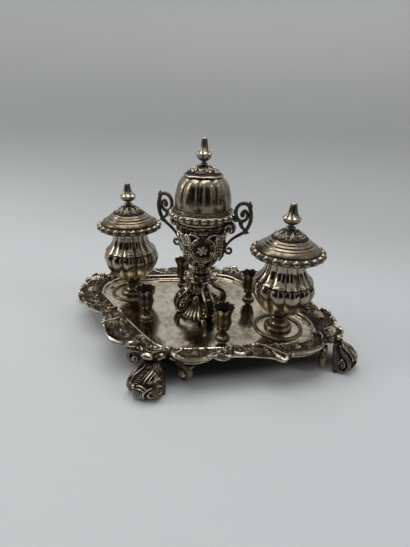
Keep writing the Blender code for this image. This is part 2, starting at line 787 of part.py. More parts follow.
def make_urn_stand(at):
    """The urn's stem, collar and neck, each bored for the tie rod."""
    bore = TIE_ROD_RADIUS + GAP
    stem = scaled(URN_STEM_SHARES, URN_STEM_RADIUS, GAP, URN_STEM_HEIGHT)
    turned("urn_stem", [*stem, (bore, GAP), (bore, URN_STEM_HEIGHT)], CAST_SILVER, at, SMALL_STEPS, ring=True)
    low = URN_STEM_HEIGHT + GAP
    high = low + URN_COLLAR_HEIGHT
    collar = scaled(URN_COLLAR_SHARES, URN_COLLAR_RADIUS, low, high)
    turned("urn_collar", [*collar, (bore, low), (bore, high)], CHASED_SILVER, at, ring=True)
    low = high + GAP
    high = low + URN_NECK_HEIGHT
    neck = scaled(URN_NECK_SHARES, URN_NECK_RADIUS, low, high)
    turned("urn_neck", [*neck, (bore, low), (bore, high)], SILVER, at, SMALL_STEPS, ring=True)
    return high


def vase_stamps(name, turns, height, half_width, half_height, at):
    """Cutters that run straight out of the vase's side at a height, one for each turn."""
    bm = bmesh.new()
    for turn in turns:
        way = Matrix.Rotation(turn, 4, "Z") @ Matrix.Translation((URN_VASE_RADIUS, 0, height))
        way = way @ Matrix.Rotation(math.pi / 2, 4, "Y") @ Matrix.Diagonal((half_height / half_width, 1, 1, 1))
        bmesh.ops.create_cone(
            bm,
            cap_ends=True,
            segments=STAMP_STEPS,
            radius1=half_width,
            radius2=half_width,
            depth=URN_VASE_RADIUS,
            matrix=way @ Matrix.Rotation(DRILL_TURN, 4, "Z"),
        )
    return place(name, mesh_of(name, bm), None, CUTTERS, at)


def vase_relief(name, vase, rise, stamps, at, hollows=None):
    """A layer over the vase's side, kept only inside the stamps and not in the hollows."""
    outer = [(radius + rise, height) for radius, height in vase]
    inner = [(radius - URN_WALL / 2, height) for radius, height in reversed(vase)]
    layer = turned(name, outer + inner, None, at, ring=True)
    keep = layer.modifiers.new("Stamp", "BOOLEAN")
    keep.operation = "INTERSECT"
    keep.object = stamps
    if hollows is not None:
        drop = layer.modifiers.new("Hollow", "BOOLEAN")
        drop.operation = "DIFFERENCE"
        drop.object = hollows
    return layer


def dress_vase(made, vase, at):
    """Fuses the vase's main cast forms to it: hoops with bosses, the leaves between them and the side lugs."""
    tall = VASE_HIGH - VASE_LOW
    middle = VASE_LOW + tall * CARTOUCHE_HEIGHT_SHARE
    quarter = math.tau / CARTOUCHE_COUNT
    turns = [CARTOUCHE_TURN + quarter * number for number in range(CARTOUCHE_COUNT)]
    hoop = CARTOUCHE_RADIUS - CARTOUCHE_RIM
    boss = CARTOUCHE_BOSS_RADIUS
    discs = vase_stamps("cartouche_discs", turns, middle, CARTOUCHE_RADIUS, CARTOUCHE_RADIUS, at)
    gaps = vase_stamps("cartouche_gaps", turns, middle, hoop, hoop, at)
    centres = vase_stamps("cartouche_centres", turns, middle, boss, boss, at)
    between = [turn + quarter / 2 for turn in turns]
    leaf_height = VASE_LOW + tall * VASE_LEAF_HEIGHT_SHARE
    leaf_size = (VASE_LEAF_HALF_WIDTH, VASE_LEAF_HALF_HEIGHT)
    leaves = vase_stamps("vase_leaf_stamps", between, leaf_height, *leaf_size, at)
    lug_height = VASE_LOW + tall * VASE_LUG_HEIGHT_SHARE
    lug_place = radius_at(vase, lug_height) - URN_WALL / 2 + VASE_LUG_REACH
    lugs = [(lug_place, 0, lug_height), (-lug_place, 0, lug_height)]
    joined(
        made,
        [
            vase_relief("cartouche_hoops", vase, CARTOUCHE_RELIEF, discs, at, gaps),
            vase_relief("cartouche_bosses", vase, CARTOUCHE_BOSS_RELIEF, centres, at),
            vase_relief("vase_leaves", vase, VASE_LEAF_RELIEF, leaves, at),
            balls("vase_lugs", lugs, (VASE_LUG_REACH, VASE_LUG_HALF_WIDTH, VASE_LUG_HALF_HEIGHT), at),
        ],
    )


def make_urn_handle(name, turn, at, rim_radius):
    """An open scroll handle in the X-Z plane: a ring by the vase, an arm out and up, and a volute at the rim."""
    ring_low = VASE_HIGH - HANDLE_DROP
    height = HANDLE_DROP + HANDLE_RISE
    points = []
    vase = radius_at(scaled(URN_VASE_SHARES, URN_VASE_RADIUS, VASE_LOW, VASE_HIGH), ring_low)
    ring_x = vase + CARTOUCHE_RELIEF + GAP + HANDLE_TUBE + HANDLE_RING_RADIUS
    turns = 7
    start, stop = math.radians(40), math.radians(-250)
    for step in range(turns):
        angle = start + (stop - start) * step / (turns - 1)
        out = HANDLE_RING_RADIUS * math.cos(angle)
        up = HANDLE_RING_RADIUS * math.sin(angle)
        points.append((ring_x + out, 0, ring_low + up))
    points += [(reach * HANDLE_REACH, 0, ring_low + up * height) for reach, up in HANDLE_ARM_SHARES]
    centre_x = rim_radius + VOLUTE_CLEARANCE + HANDLE_TUBE + VOLUTE_RADIUS * math.cos(math.radians(35))
    centre_z = ring_low + VOLUTE_CENTRE_SHARE * height
    for step, share in enumerate(VOLUTE_SHARES):
        angle = math.radians(90 + 45 * step)
        radius = VOLUTE_RADIUS * share
        points.append((centre_x + radius * math.cos(angle), 0, centre_z + radius * math.sin(angle)))
    return place(name, tube_curve(name, points, HANDLE_TUBE), CAST_SILVER, PARTS, at, turn)


def make_urn_cover(at, low):
    """The urn's lift-off cover: a dome, the bezel that seats it, the chased cap and the finial with its nut."""
    hole = FINIAL_STEM_RADIUS + GAP
    crown = low + URN_COVER_HEIGHT
    dome = scaled(URN_COVER_SHARES, URN_COVER_RADIUS, low, crown)
    turned("urn_cover", [(hole, crown), *dome], SILVER, at, wall=URN_COVER_WALL)

    plug = URN_VASE_RADIUS * URN_VASE_SHARES[0][0] - URN_WALL - URN_BEZEL_CLEARANCE
    seat = radius_at(dome, low + URN_BEZEL_RISE) - URN_COVER_WALL - GAP - GAP
    inner = plug - URN_COVER_WALL
    bezel = [
        (seat, low + URN_BEZEL_RISE),
        (seat, low),
        (plug, low),
        (plug, low - URN_BEZEL_DEPTH),
        (inner, low - URN_BEZEL_DEPTH),
        (inner, low + URN_BEZEL_RISE),
    ]
    turned("urn_cover_bezel", bezel, SILVER, at, ring=True)

    cap_low = crown - URN_CAP_LAP
    cap_high = cap_low + URN_CAP_HEIGHT
    cap = scaled(URN_CAP_SHARES, URN_CAP_RADIUS, cap_low, cap_high)
    turned("urn_cap", [(hole, cap_high), *cap], CHASED_SILVER, at, wall=URN_CAP_WALL)

    nut_top = crown - URN_COVER_WALL - GAP
    stem_end = nut_top - FINIAL_NUT_HEIGHT - FINIAL_STEM_BELOW_NUT
    finial = finial_outline(URN_FINIAL_RADIUS, cap_high + GAP, URN_FINIAL_HEIGHT, stem_end)
    turned("urn_finial", finial, SILVER, at, steps=SMALL_STEPS)
    hexagon_nut("urn_finial_nut", FINIAL_NUT_RADIUS, FINIAL_NUT_HEIGHT, hole, nut_top, at)


def make_urn():
    """The covered urn in the middle of the tray."""
    at = (0, 0, TRAY_HEIGHT)
    for leg in range(LEG_COUNT):
        turn = math.tau * (leg + 0.5) / LEG_COUNT
        make_urn_leg(f"urn_leg_{leg + 1}", turn, at)
    make_urn_stand(at)

    bore = TIE_ROD_RADIUS + GAP
    vase = scaled(URN_VASE_SHARES, URN_VASE_RADIUS, VASE_LOW, VASE_HIGH)
    made = turned("urn_vase", [*vase, (bore, VASE_LOW)], CHASED_SILVER, at, wall=URN_WALL)
    dress_vase(made, vase, at)
    rim_low = VASE_HIGH + GAP
    rim_high = rim_low + URN_RIM_HEIGHT
    rim = scaled(URN_RIM_SHARES, URN_RIM_RADIUS, rim_low, rim_high)
    rim_bore = URN_VASE_RADIUS * URN_VASE_SHARES[0][0] - URN_WALL
    turned("urn_rim", [*rim, (rim_bore, rim_low), (rim_bore, rim_high)], SILVER, at, ring=True)
    make_urn_handle("urn_handle_right", 0, at, URN_RIM_RADIUS)
    make_urn_handle("urn_handle_left", math.pi, at, URN_RIM_RADIUS)
    make_urn_cover(at, rim_high + GAP)

    head = VASE_LOW + URN_WALL + GAP
    low = stud_end(NUT_HEIGHT)
    rod = [
        (0, head + TIE_ROD_HEAD_HEIGHT),
        (TIE_ROD_HEAD_RADIUS, head + TIE_ROD_HEAD_HEIGHT),
        (TIE_ROD_HEAD_RADIUS, head),
        (TIE_ROD_RADIUS, head),
        (TIE_ROD_RADIUS, low),
        (0, low),
    ]
    turned("urn_tie_rod", rod, PLATED_STEEL, at, steps=ROD_STEPS)
    hexagon_nut("urn_rod_nut", NUT_RADIUS, NUT_HEIGHT, TIE_ROD_RADIUS + GAP, -SHEET - GAP, at)


def pen_cup_places():
    """Where the four pen cups stand, a square round the urn."""
    return [(x * PEN_CUP_PLACE, y * PEN_CUP_PLACE) for x, y in ((-1, -1), (1, -1), (1, 1), (-1, 1))]


def make_pen_cups():
    """Four flared pen cups with threaded stems, and their nuts under the tray."""
    names = ("front_left", "front_right", "back_right", "back_left")
    low = stud_end(NUT_HEIGHT)
    high = GAP + PEN_CUP_HEIGHT
    inner = scaled(PEN_CUP_INNER_SHARES, PEN_CUP_RADIUS, GAP, high)
    outer = scaled(PEN_CUP_OUTER_SHARES, PEN_CUP_RADIUS, GAP, high)
    floor = GAP + PEN_CUP_HEIGHT * PEN_CUP_FLOOR_SHARE
    stud = [(PEN_CUP_STUD_RADIUS, GAP), (PEN_CUP_STUD_RADIUS, low), (0, low)]
    for name, (x, y) in zip(names, pen_cup_places()):
        at = (x, y, TRAY_HEIGHT)
        turned(f"pen_cup_{name}", [(0, floor), *inner, *outer, *stud], CHASED_SILVER, at, steps=SMALL_STEPS)
        bore = PEN_CUP_STUD_RADIUS + GAP
        hexagon_nut(f"pen_cup_nut_{name}", SMALL_NUT_RADIUS, NUT_HEIGHT, bore, -SHEET - GAP, at)


clear_scene()
PARTS = make_collection("Desk inkstand")
CUTTERS = make_collection("Cutters")
FLANGE_TOP = TRAY_HEIGHT + MOULDING_RISE
INKWELL_PLACE = HANDLE_REACH + HANDLE_TUBE + LID_FROM_HANDLE + LID_RADIUS
WELL_CENTRE_X = INKWELL_PLACE + WELL_TIP_PAST_INKWELL
TRAY_LENGTH = 2 * (WELL_CENTRE_X + WELL_CORNER_RADIUS + FLANGE_AT_ENDS)
TRAY_WIDTH = 2 * (WELL_CENTRE_Y + WELL_CORNER_RADIUS + FLANGE_AT_SIDES)
VASE_LOW = URN_STEM_HEIGHT + GAP + URN_COLLAR_HEIGHT + GAP + URN_NECK_HEIGHT + GAP
VASE_HIGH = VASE_LOW + URN_VASE_HEIGHT
make_tray()
make_border()
make_feet()
make_inkwell("left", -INKWELL_PLACE)
make_inkwell("right", INKWELL_PLACE)
make_urn()
make_pen_cups()
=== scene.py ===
"""Dresses the packed desk inkstand: modelled, chased and tarnished silver on the frame's bodies."""

import math

import bmesh
import bpy
import numpy as np
from bpy.props import FloatProperty, FloatVectorProperty, IntProperty, PointerProperty
from bpy.types import Operator, Panel, PropertyGroup
from mathutils import Matrix, Vector


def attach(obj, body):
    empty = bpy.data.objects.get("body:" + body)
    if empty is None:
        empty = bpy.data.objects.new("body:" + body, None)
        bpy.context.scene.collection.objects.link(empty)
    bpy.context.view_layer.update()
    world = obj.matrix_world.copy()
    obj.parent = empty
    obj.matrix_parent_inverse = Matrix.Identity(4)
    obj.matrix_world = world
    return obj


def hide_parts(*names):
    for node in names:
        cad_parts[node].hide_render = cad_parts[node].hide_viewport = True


bl_info = {
    "name": "Desk inkstand",
    "version": (1, 0, 0),
    "blender": (4, 5, 0),
    "location": "3D View > Sidebar > Inkstand",
    "description": "Models the silver inkstand's tray, border, feet, inkwells, urn and pen cups",
    "category": "Add Mesh",
}

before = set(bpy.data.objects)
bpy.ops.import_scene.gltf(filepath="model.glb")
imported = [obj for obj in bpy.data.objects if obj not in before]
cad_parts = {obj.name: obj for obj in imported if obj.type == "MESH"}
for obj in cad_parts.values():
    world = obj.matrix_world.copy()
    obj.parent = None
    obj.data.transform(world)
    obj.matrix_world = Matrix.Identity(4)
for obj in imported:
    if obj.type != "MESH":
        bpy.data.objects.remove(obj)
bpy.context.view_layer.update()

# Flat top of the tray, from which every height below is counted, and the top of its flange
TRAY_TOP = 0.0174
FLANGE = 0.02
TRAY_HALF = (0.1008, 0.0738)
# The flat: centres of its end and side corners, their radius and how far its sides bow
WELL_TIP = 0.0612
WELL_FLANK = 0.0348
WELL_ROUND = 0.0216
WELL_BOW = 0.0006
INKWELLS = {"left": (-0.06, 0.0), "right": (0.06, 0.0)}
CUPS = {
    "front_left": (-0.0294, -0.0294),
    "front_right": (0.0294, -0.0294),
    "back_right": (0.0294, 0.0294),
    "back_left": (-0.0294, 0.0294),
}
# Radii of the holes in the tray for the studs of inkwells and cups and for the urn's rod
WELL_HOLE = 0.0021
CUP_HOLE = 0.0016
ROD_HOLE = 0.0018
LEG_NAMES = ("urn_leg_1", "urn_leg_2", "urn_leg_3", "urn_leg_4")
FITTINGS = ("urn_tie_rod", "urn_rod_nut", "urn_finial_nut")

# Half of the border's outline: where each stretch starts, and how far it bulges, in shares of half the tray
OUTLINE = (
    (-0.125, -0.870, 0.150),
    (0.083, -0.862, 0.098),
    (0.333, -0.748, 0.041),
    (0.435, -0.667, -0.012),
    (0.679, -0.537, 0.057),
    (0.750, -0.455, 0.057),
    (0.929, -0.146, 0.100),
    (0.958, 0.195, 0.050),
    (0.833, 0.439, 0.041),
    (0.613, 0.569, -0.024),
    (0.476, 0.732, 0.024),
    (0.440, 0.780, 0.106),
)
# Each casting of the border: its first stretch and how many it has
CASTINGS = {
    "corner_front": (0, 1),
    "border_front_right": (1, 5),
    "corner_right": (6, 2),
    "border_back_right": (8, 4),
    "corner_back": (12, 1),
    "border_back_left": (13, 5),
    "corner_left": (18, 2),
    "border_front_left": (20, 4),
}


def metres(name, text, value):
    """A length that the user may change."""
    kind = {"min": 0.0001, "max": 1.0, "subtype": "DISTANCE", "unit": "LENGTH", "precision": 5}
    return FloatProperty(name=name, description=text, default=value, **kind)


def count(name, text, value):
    """How many of something there are."""
    return IntProperty(name=name, description=text, default=value, min=3, max=240)


def colour(name, text, value):
    """A linear colour."""
    look = {"size": 3, "min": 0.0, "max": 1.0, "subtype": "COLOR"}
    return FloatVectorProperty(name=name, description=text, default=value, **look)


class InkstandTray(PropertyGroup):
    """Sizes of the tray sheet and its castings."""

    sheet: metres("Sheet", "Thickness of the tray's sheet", 0.0012)
    moulding: metres("Moulding", "Width of the round moulding between well and flange", 0.0026)
    border_lift: metres("Border relief", "Height of the leafwork over the flange", 0.0028)
    corner_lift: metres("Corner relief", "Height of the corner castings over the flange", 0.0044)
    foot_reach: metres("Foot reach", "How far a foot reaches past the tip above it", 0.0130)
    foot_half: metres("Foot half width", "Half the width of a foot at its sole", 0.0108)


class InkstandWell(PropertyGroup):
    """Sizes of the inkwells."""

    lobes: count("Lobes", "Lobes round bowl and neck", 12)
    lobe_depth: metres("Lobe depth", "Depth of the grooves between the lobes", 0.0016)
    beads: count("Beads", "Beads round the lid's edge", 22)
    bead_lift: metres("Bead height", "How far a bead stands out of the lid's edge", 0.0013)
    petals: count("Petals", "Petals of the finial's lip", 7)
    flowers: count("Flowers", "Flowers chased round the lid's crown", 5)


class InkstandUrn(PropertyGroup):
    """Sizes of the urn."""

    cartouches: count("Cartouches", "Round cartouches on the vase", 4)
    relief: metres("Relief", "Height of the vase's chasing", 0.0019)
    rim_beads: count("Rim beads", "Beads round the rim", 26)
    dome_lobes: count("Dome lobes", "Lobes of the lift-off dome", 10)
    dome_depth: metres("Dome lobe depth", "Depth of the grooves of the dome", 0.0010)
    handle_bar: metres("Handle bar", "Half the thickness of a handle's bar", 0.0009)


class InkstandCup(PropertyGroup):
    """Sizes of the pen cups."""

    ribs: count("Ribs", "Ribs and scallops of a pen cup", 8)
    rib_depth: metres("Rib depth", "Depth of the grooves between the ribs", 0.0007)


class InkstandFinish(PropertyGroup):
    """Colours of the metal, glass and stage."""

    bright: colour("Bright silver", "Silver where it is rubbed bright", (0.76, 0.69, 0.57))
    worn: colour("Old silver", "Silver with its usual dull bloom", (0.41, 0.357, 0.275))
    brown: colour("Tarnish", "Warm brown tarnish", (0.155, 0.103, 0.045))
    black: colour("Black tarnish", "Black tarnish of handles and cups", (0.045, 0.040, 0.036))
    # The colour of the hollows: oxide, and the painted shade there too
    dark: colour("Oxide", "Oxide left in the hollows", (0.018, 0.013, 0.010))
    steel: colour("Plated steel", "Nuts and the tie rod", (0.46, 0.45, 0.42))
    glass: colour("Liner glass", "Glass of the ink liners", (0.70, 0.80, 0.79))
    floor: colour("Floor", "Pale table top", (0.515, 0.53, 0.545))
    # The backdrop's colours stand in for light: darker than the floor as painted shade, and paler high up
    # as painted light
    far: colour("Backdrop", "Backdrop above the table", (0.335, 0.345, 0.345))
    upper: colour("Upper backdrop", "Backdrop high over the table", (0.56, 0.57, 0.565))
    flag: colour("Dark room", "What the metal mirrors from in front", (0.010, 0.008, 0.006))


SETTINGS = (
    ("inkstand_tray", InkstandTray),
    ("inkstand_well", InkstandWell),
    ("inkstand_urn", InkstandUrn),
    ("inkstand_cup", InkstandCup),
    ("inkstand_finish", InkstandFinish),
)


def travelled(line):
    """How far along a polyline each of its points is."""
    return np.concatenate([[0], np.cumsum(np.linalg.norm(np.diff(line, axis=0), axis=1))])


def stretch_out(values, steps):
    """Values, or one value, spread evenly from end to end and read at shares of the way."""
    return np.interp(steps, np.linspace(0, 1, np.size(values)), np.atleast_1d(values))


def spaced(line, number):
    """So many evenly spaced points along a polyline."""
    along = travelled(line)
    want = np.linspace(0, along[-1], number)
    return np.column_stack([np.interp(want, along, axis) for axis in line.T])


def smooth_line(points, number):
    """Evenly spaced points on a Catmull-Rom curve through the given ones."""
    points = np.asarray(points, float)
    ends = np.vstack([2 * points[0] - points[1], points, 2 * points[-1] - points[-2]])
    t = np.linspace(0, 1, 16, endpoint=False)[:, None]
    bends = []
    for before, start, stop, after in zip(ends, ends[1:], ends[2:], ends[3:]):
        bend = 2 * start + (stop - before) * t
        bend = bend + (2 * before - 5 * start + 4 * stop - after) * t**2
        bend = bend + (3 * start - before - 3 * stop + after) * t**3
        bends.append(bend / 2)
    return spaced(np.vstack([*bends, points[-1:]]), number)


def bent_path(start, heading, length, bends, number=36):
    """A flat path whose bend, in turns over its whole length, follows the given values from end to end."""
    along = np.linspace(0, 1, number)
    bend = np.interp(along, np.linspace(0, 1, len(bends)), bends)
    angle = heading + math.tau * np.concatenate([[0], np.cumsum(bend[1:] + bend[:-1]) / 2]) / (number - 1)
    step = np.column_stack([np.cos(angle), np.sin(angle)])[:-1] * length / (number - 1)
    return np.vstack([np.zeros(2), np.cumsum(step, axis=0)]) + np.asarray(start)


def ease(value, low, high):
    """Nought below low, one above high and a smooth rise between."""
    t = np.clip((value - low) / (high - low), 0, 1)
    return t * t * (3 - 2 * t)


def falloff(value, middle, wide, power=2):
    """One at the middle, falling off smoothly on both sides over a width."""
    return np.exp(-(((value - middle) / wide) ** power))


def unevenness(points, size, seed):
    """Gentle hand-made unevenness from -1 to 1, from waves that cross at odd angles."""
    rng = np.random.default_rng(seed)
    ways = rng.normal(size=(7, points.shape[1]))
    ways /= np.linalg.norm(ways, axis=1)[:, None]
    pitch = math.tau / size * rng.uniform(0.6, 1.5, 7)
    start = rng.uniform(0, math.tau, 7)
    return np.sin((points @ ways.T) * pitch + start).sum(axis=1) / 4


class Chasing:
    """Ornament raised on a surface that is laid out flat: how high each of its points ends up."""

    def __init__(self, x, y):
        self.x = x
        self.y = y
        self.lift = np.zeros_like(x)

    def raise_to(self, height, where):
        """Lifts some of the points to at least a height."""
        self.lift[where] = np.maximum(self.lift[where], height)

    def nearby(self, x, y, reach, turn=0.0):
        """The points within a reach of a place, and their turned offsets from it."""
        where = np.flatnonzero((np.abs(self.x - x) < reach) & (np.abs(self.y - y) < reach))
        across, up = self.x[where] - x, self.y[where] - y
        c, s = math.cos(turn), math.sin(turn)
        return where, across * c + up * s, up * c - across * s

    def bead(self, x, y, radius, height, long=1.0, turn=0.0):
        """A round or oval bead."""
        where, across, up = self.nearby(x, y, radius * max(long, 1), turn)
        inside = 1 - (across / (radius * long)) ** 2 - (up / radius) ** 2
        self.raise_to(height * np.sqrt(np.clip(inside, 0, 1)), where)

    def flower(self, x, y, radius, height, petals=5, turn=0.0):
        """A flower of round petals about a bead."""
        where, across, up = self.nearby(x, y, radius, turn)
        out = np.hypot(across, up) / radius
        petal = np.abs(np.cos(np.arctan2(up, across) * petals / 2)) ** 0.6
        shape = np.sqrt(np.clip(1 - ((out - 0.6) / 0.4) ** 2, 0, 1)) * petal * (out < petal * 0.35 + 0.65)
        self.raise_to(height * 0.85 * shape, where)
        self.bead(x, y, radius * 0.26, height)

    def leaf(self, x, y, length, height, turn, fat=0.34, ribs=5.0):
        """A pointed leaf with a sunk midrib, slanting veins and a lobed edge."""
        where, across, up = self.nearby(x, y, length * 1.05, turn)
        along = across / length
        lobed = 1 - 0.22 * np.abs(np.sin(along * ribs * math.pi))
        half = fat * np.sin(math.pi * np.clip(along, 0, 1) ** 0.75) * lobed + 1e-4
        side = np.abs(up) / length / half
        body = np.sqrt(np.clip(1 - side**2, 0, 1)) * (along > 0) * (along < 1)
        vein = 0.72 + 0.28 * np.cos((along - side * 0.12) * ribs * math.tau)
        self.raise_to(height * body * vein * (0.45 + 0.55 * ease(side, 0.0, 0.3)), where)

    def roll(self, path, wide, height):
        """A rounded ridge along a path, with its half width and height given from end to end."""
        path = np.asarray(path, float)
        steps = np.linspace(0, 1, len(path))
        wide, high = stretch_out(wide, steps), stretch_out(height, steps)
        reach = wide.max()
        low, top = path.min(axis=0) - reach, path.max(axis=0) + reach
        inside = (self.x > low[0]) & (self.x < top[0]) & (self.y > low[1]) & (self.y < top[1])
        where = np.flatnonzero(inside)
        found = np.zeros(len(where))
        for i in range(len(path) - 1):
            run = path[i + 1] - path[i]
            dx, dy = self.x[where] - path[i][0], self.y[where] - path[i][1]
            t = np.clip((dx * run[0] + dy * run[1]) / max(run @ run, 1e-15), 0, 1)
            off = np.hypot(dx - run[0] * t, dy - run[1] * t)
            w = wide[i] + (wide[i + 1] - wide[i]) * t
            h = high[i] + (high[i + 1] - high[i]) * t
            found = np.maximum(found, h * np.sqrt(np.clip(1 - (off / w) ** 2, 0, 1)))
        self.raise_to(found, where)

    def scroll(self, x, y, heading, length, turns, wide, height):
        """A scroll that starts at a place, runs off along a heading and curls up round a bead."""
        path = bent_path((x, y), heading, length, (turns * 0.15, turns * 0.5, turns * 1.2, turns * 2.6))
        self.roll(path, (wide, wide, wide * 0.55), (height * 0.7, height, height))
        self.bead(*path[-1], wide * 1.25, height * 1.15)

    def shell(self, x, y, radius, height, turn, spread, ribs, inner):
        """A fan of ribs with a scalloped edge."""
        where, across, up = self.nearby(x, y, radius * 1.15, turn)
        out = np.hypot(across, up) / radius
        angle = np.arctan2(up, across)
        wave = np.abs(np.cos(angle / spread * ribs * math.pi / 2 + (math.pi / 2) * ((ribs + 1) % 2)))
        edge = 0.86 + 0.14 * wave
        inside = ease(edge - out, 0.0, 0.1) * ease(out, inner - 0.05, inner + 0.1)
        inside = inside * (np.abs(angle) < spread)
        self.raise_to(height * inside * (0.35 + 0.65 * wave**0.7) * (0.6 + 0.4 * out), where)


def hollows(lift, full):
    """How deep the ornament's ground lies, from 1 in the hollows to 0 on its ridges."""
    return 1 - ease(lift, 0.12 * full, 0.75 * full)


def turn_on_lathe(outline, steps):
    """A bmesh spun about Z from an outline of (radius, height), with the way along it kept on its points.

    An outline that starts away from Z is closed on itself.
    """
    closed = outline[0][0] > 0
    if closed and np.allclose(outline[0], outline[-1]):
        outline = outline[:-1]
    bm = bmesh.new()
    layer = bm.verts.layers.float.new("along")
    distance = 0.0
    verts = []
    for place in outline:
        vert = bm.verts.new((place[0], 0.0, place[1]))
        if verts:
            distance += (vert.co - verts[-1].co).length
        vert[layer] = distance
        verts.append(vert)
    edges = [bm.edges.new(pair) for pair in zip(verts, verts[1:])]
    if closed:
        edges.append(bm.edges.new((verts[-1], verts[0])))
    turn = {"cent": (0, 0, 0), "axis": (0, 0, 1), "angle": math.tau, "steps": steps, "use_merge": True}
    bmesh.ops.spin(bm, geom=verts + edges, **turn)
    bmesh.ops.remove_doubles(bm, verts=bm.verts, dist=1e-6)
    bmesh.ops.recalc_face_normals(bm, faces=bm.faces)
    return bm


def wrap_grid(rows, around, place):
    """A closed tube: place(u, v) gives points for u along it and v round it, both from 0 to 1."""
    bm = bmesh.new()
    bmesh.ops.create_grid(bm, x_segments=rows, y_segments=around, size=0.5)
    along = bm.verts.layers.float.new("along")
    across = bm.verts.layers.float.new("across")
    flat = np.array([vert.co[:2] for vert in bm.verts]) + 0.5
    points = place(flat[:, 0], flat[:, 1])
    for vert, (u, v), point in zip(bm.verts, flat, points):
        vert.co = point
        vert[along] = u
        vert[across] = v
    bmesh.ops.remove_doubles(bm, verts=bm.verts, dist=2e-7)
    open_edges = [edge for edge in bm.edges if edge.is_boundary]
    bmesh.ops.holes_fill(bm, edges=open_edges, sides=0)
    bmesh.ops.triangulate(bm, faces=[face for face in bm.faces if len(face.verts) > 4])
    bmesh.ops.recalc_face_normals(bm, faces=bm.faces)
    return bm


def scroll_bar(path, wide, thick, rows, around, crest=0.0):
    """A bar along a path in the X-Z plane: wide is its half width along Y, thick its half thickness."""
    line = smooth_line(path, rows + 1)
    way = np.gradient(line, axis=0)
    way /= np.linalg.norm(way, axis=1)[:, None]
    steps = np.linspace(0, 1, rows + 1)
    wide, thick = stretch_out(wide, steps), stretch_out(thick, steps)

    def place(u, v):
        row = np.rint(u * rows).astype(int)
        angle = v * math.tau
        side = np.sign(np.cos(angle)) * np.abs(np.cos(angle)) ** 0.8
        up = np.sign(np.sin(angle)) * np.abs(np.sin(angle)) ** 0.8
        up = up * (1 + crest * np.cos(angle * 3 + math.pi / 2))
        x = line[row, 0] - way[row, 1] * thick[row] * up
        z = line[row, 1] + way[row, 0] * thick[row] * up
        return np.column_stack([x, wide[row] * side, z])

    return wrap_grid(rows, around, place)


def ball(x, y, z, radius, squash):
    """A small squashed ball."""
    bm = bmesh.new()
    place = Matrix.Translation((x, y, z)) @ Matrix.Diagonal((*squash, 1.0))
    bmesh.ops.create_uvsphere(bm, u_segments=16, v_segments=10, radius=radius, matrix=place)
    return bm


def turned_about(bm, angle, at):
    """The bmesh turned about Z and set down at a place."""
    bmesh.ops.transform(bm, matrix=Matrix.Translation(at) @ Matrix.Rotation(angle, 4, "Z"), verts=bm.verts)
    return bm


def press(bm, relief=None, at=(0.0, 0.0, 0.0)):
    """A mesh from a bmesh, raised along its normals by a relief, which also says how deep it lies."""
    mesh = bpy.data.meshes.new("pressed")
    bm.to_mesh(mesh)
    bm.free()
    number = len(mesh.vertices)
    points = np.empty(number * 3)
    mesh.vertices.foreach_get("co", points)
    points = points.reshape(-1, 3)
    normals = np.empty(number * 3)
    mesh.vertex_normals.foreach_get("vector", normals)
    recess = np.zeros(number)
    if relief is not None:
        marks = {}
        for mark in ("along", "across"):
            if mark in mesh.attributes:
                values = np.empty(number)
                mesh.attributes[mark].data.foreach_get("value", values)
                marks[mark] = values
        lift, recess = relief(points, marks)
        points = points + normals.reshape(-1, 3) * lift[:, None]
    points = points + np.asarray(at)
    mesh.vertices.foreach_set("co", points.ravel())
    mesh.attributes.new("recess", "FLOAT", "POINT")
    mesh.attributes["recess"].data.foreach_set("value", np.clip(recess, 0, 2))
    return mesh


def set_down(name, meshes, body, nodes, finish):
    """One piece made of pressed meshes, riding on a body in place of its CAD nodes."""
    bm = bmesh.new()
    for mesh in meshes:
        bm.from_mesh(mesh)
        bpy.data.meshes.remove(mesh)
    data = bpy.data.meshes.new(name)
    bm.to_mesh(data)
    bm.free()
    data.shade_smooth()
    data.set_sharp_from_angle(angle=math.radians(60))
    piece = bpy.data.objects.new(name, data)
    bpy.context.scene.collection.objects.link(piece)
    data.materials.append(finish)
    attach(piece, body)
    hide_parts(*nodes)
    return piece


class Wire:
    """One socket of a material's nodes, so that shader maths reads as an expression."""

    def __init__(self, nodes, socket):
        self.nodes = nodes
        self.socket = socket

    def maths(self, operation, first, second=0.0):
        return self.nodes.make("ShaderNodeMath", {"operation": operation}, {0: first, 1: second})

    def unsigned(self):
        """The value without its sign."""
        return self.maths("ABSOLUTE", self)

    def __add__(self, other):
        return self.maths("ADD", self, other)

    __radd__ = __add__

    def __mul__(self, other):
        return self.maths("MULTIPLY", self, other)

    def __sub__(self, other):
        return self.maths("SUBTRACT", self, other)

    def __rsub__(self, other):
        return self.maths("SUBTRACT", other, self)

    def within(self, low, high):
        """Rises smoothly from 0 at low to 1 at high."""
        values = {"Value": self, "From Min": low, "From Max": high}
        return self.nodes.make("ShaderNodeMapRange", {"interpolation_type": "SMOOTHSTEP"}, values)


